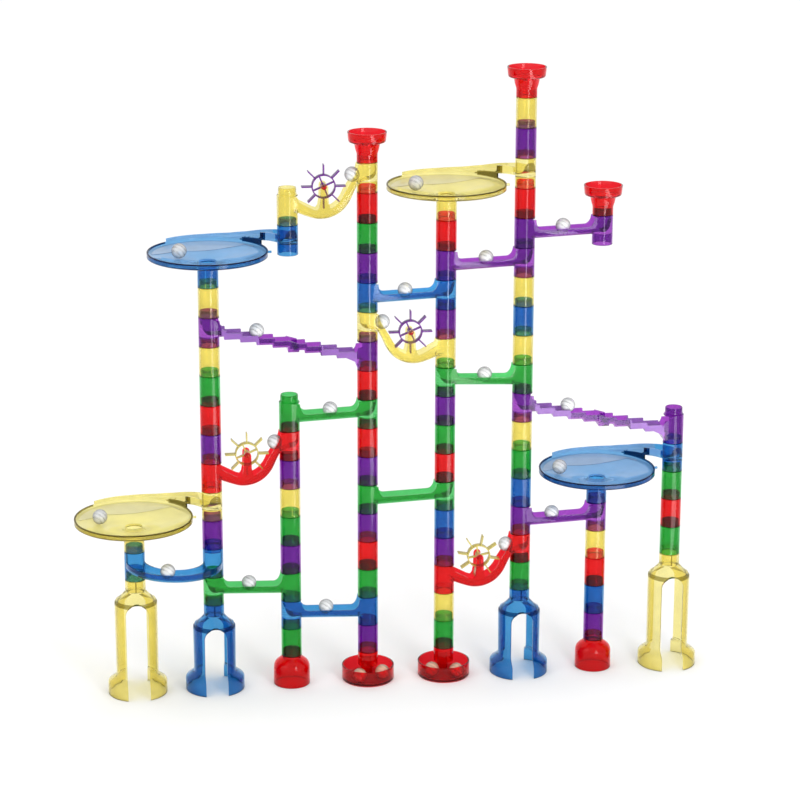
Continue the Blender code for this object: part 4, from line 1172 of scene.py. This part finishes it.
# Plain tubes: the CAD node that carries them, tower, bottom level, colours upwards.
TUBE_RUNS = [
    ("tubes_2", 2, 7, "purple red green yellow"),
    ("tubes_3", 3, 3, "purple green yellow purple"),
    ("tubes_4", 4, 13, "purple green red"),
    ("tubes_5", 5, 6, "red green purple"),
    ("bowl_2", 2, 12, "yellow"),
    ("bowl_5", 5, 14, "red"),
    ("slide_curved", 2, 4, "purple"),
    ("slide_3_4", 4, 2, "green red purple"),
    ("slide_4_3", 4, 9, "red"),
    ("slide_5_4_low", 4, 6, "purple red"),
    ("slide_7_6_high", 6, 15, "red"),
    ("slide_5_6", 6, 10, "yellow blue yellow"),
    ("slide_7_6_low", 6, 5, "blue green yellow"),
    ("scoop_4_5", 5, 11, "purple"),
    ("scoop_6_5", 5, 3, "purple blue"),
    ("funnel_6", 6, 17, "purple yellow"),
    ("round_base_3", 3, 0, "green"),
    ("catch_dish_4", 4, 0, "purple"),
    ("catch_dish_5", 5, 0, "green yellow"),
    ("short_leg_6", 6, 2, "green"),
    ("round_base_7", 7, 0, "purple blue red yellow"),
    ("tall_leg_8", 8, 3, "green red green"),
]
# Straight slides: name, entry tower, exit tower, level, colour.
SLIDES = [
    ("slide_2_3", 2, 3, 2, "green"),
    ("slide_3_4", 3, 4, 1, "blue"),
    ("slide_4_3", 4, 3, 8, "green"),
    ("slide_5_4_low", 5, 4, 5, "green"),
    ("slide_5_4_high", 5, 4, 12, "blue"),
    ("slide_6_5", 6, 5, 13, "purple"),
    ("slide_7_6_high", 7, 6, 14, "purple"),
    ("slide_5_6", 5, 6, 9, "green"),
    ("slide_7_6_low", 7, 6, 4, "purple"),
]
# Scoops and wheels: key, upper tower, lower tower, joint, colour, wheel colour, wheel turn in degrees.
SCOOPS = [
    ("3_2", 3, 2, 7, "red", "yellow", 0.0),
    ("4_5", 4, 5, 11, "yellow", "purple", 0.0),
    ("4_3", 4, 3, 16, "yellow", "purple", 0.0),
    ("6_5", 6, 5, 3, "red", "yellow", -11.0),
]
BOWLS = [("1", 1, 4, "yellow"), ("2", 2, 13, "blue"), ("5", 5, 15, "yellow"), ("7", 7, 5, "blue")]
STAIRS = [("2_4", 2, 4, 11), ("6_8", 6, 8, 8)]
LEGS = [
    ("tall_leg_1", 1, 3, "yellow"),
    ("short_leg_2", 2, 2, "blue"),
    ("short_leg_6", 6, 2, "blue"),
    ("tall_leg_8", 8, 3, "yellow"),
]
FUNNELS = [("funnel_4", 4, 17), ("funnel_6", 6, 19), ("funnel_7", 7, 15)]


def make_towers():
    for owner, column, level, colours in TUBE_RUNS:
        for number, colour in enumerate(colours.split()):
            bottom = level + number
            # The two tubes of funnel_6 stand below the cup; its joint is above them.
            make_tube(owner, column, bottom, colour)
    for name, column, level, colour in LEGS:
        make_leg(name, column, level, colour)
    for name, column in (("round_base_3", 3), ("round_base_7", 7)):
        make_round_base(name, column, "red")
    for name, column in (("catch_dish_4", 4), ("catch_dish_5", 5)):
        make_catcher(name, column, "red")
    for name, column, level in FUNNELS:
        make_funnel(name, column, level, "red")
    for name, start, end, level, colour in SLIDES:
        make_slide(name, start, end, level, colour)
    make_curved_slide("slide_curved", 1, 2, 3, "blue")
    for key, start, end, joint in STAIRS:
        make_stair_upper(f"stair_{key}_upper", start, end, joint, "purple")
        make_stair_lower(f"stair_{key}_lower", start, end, joint, "purple")
    for key, upper, lower, joint, colour, wheel_colour, turn in SCOOPS:
        make_scoop("scoop_" + key, upper, lower, joint, colour)
        make_wheel(key, wheel_colour, turn)
    for key, column, level, colour in BOWLS:
        make_bowl(key, column, level, colour)


def make_marbles():
    names = sorted(body for body in frame["bodies"] if body.startswith("marble_"))
    for number, name in enumerate(names):
        make_marble(name, middle(name), name, [name], spin=0.9 * number + 0.4)
    resting = [(4, -11.5, -17.0), (4, 14.5, -9.5), (5, -14.5, -9.5), (5, 11.5, -16.5)]
    for number, (column, across, along) in enumerate(resting):
        centre = Vector((column_x(column) + across, along, 2.4 + MARBLE_RADIUS))
        make_marble(
            f"marble_resting_{number + 1}", centre, FRAME_BODY, [],
            tint=(0.92, 0.60, 0.42), ribbon=(0.85, 0.6, 0.42), spin=1.3 * number,
        )


# --- Floor, light and camera ---


def make_stage():
    bpy.ops.mesh.primitive_plane_add(size=40.0, location=(0.0, 0.0, 0.0))
    floor = bpy.context.object
    floor.name = "floor"
    material = bpy.data.materials.new("floor")
    material.use_nodes = True
    shader = material.node_tree.nodes["Principled BSDF"]
    shader.inputs["Base Color"].default_value = (0.99, 0.99, 0.99, 1.0)
    shader.inputs["Roughness"].default_value = 0.9
    shader.inputs["Specular IOR Level"].default_value = 0.1
    floor.data.materials.append(material)
    world = bpy.data.worlds.new("studio")
    world.use_nodes = True
    backdrop = world.node_tree.nodes["Background"]
    backdrop.inputs["Color"].default_value = (1.0, 1.0, 1.0, 1.0)
    backdrop.inputs["Strength"].default_value = 1.02
    bpy.context.scene.world = world
    for name, spot, target, size, power in [
        ("window", (0.5, -1.48, 0.62), (0.0, 0.0, 0.62), (0.45, 1.24), 12.0),
        ("window_below", (0.5, -1.1, 0.004), (0.5, -1.1, 1.0), (0.45, 1.5), 14.0),
        ("fill", (-2.6, -1.6, 2.2), (0.0, 0.0, 0.3), (1.6, 1.6), 12.0),
    ]:
        light = bpy.data.lights.new(name, "AREA")
        light.shape = "RECTANGLE"
        light.size, light.size_y = size
        light.energy = power
        lamp = bpy.data.objects.new(name, light)
        lamp.location = spot
        lamp.rotation_euler = (Vector(target) - Vector(spot)).to_track_quat("-Z", "Y").to_euler()
        bpy.context.scene.collection.objects.link(lamp)


def make_camera():
    camera_data = bpy.data.cameras.new("camera")
    camera_data.lens = 124.4
    camera_data.sensor_width = 36.0
    camera = bpy.data.objects.new("camera", camera_data)
    spot = Vector((-418.2, -2800.2, 1155.6)) * MM
    target = Vector((8.7, 0.0, 317.0)) * MM
    aim = (target - spot).to_track_quat("-Z", "Y").to_matrix().to_4x4()
    camera.matrix_world = Matrix.Translation(spot) @ aim @ Matrix.Rotation(math.radians(0.107), 4, "Z")
    bpy.context.scene.collection.objects.link(camera)
    bpy.context.scene.camera = camera


make_towers()
make_marbles()
make_stage()
make_camera()
bpy.context.scene.view_settings.view_transform = "Standard"
bpy.context.scene.cycles.max_bounces = 32
bpy.context.scene.cycles.transmission_bounces = 32
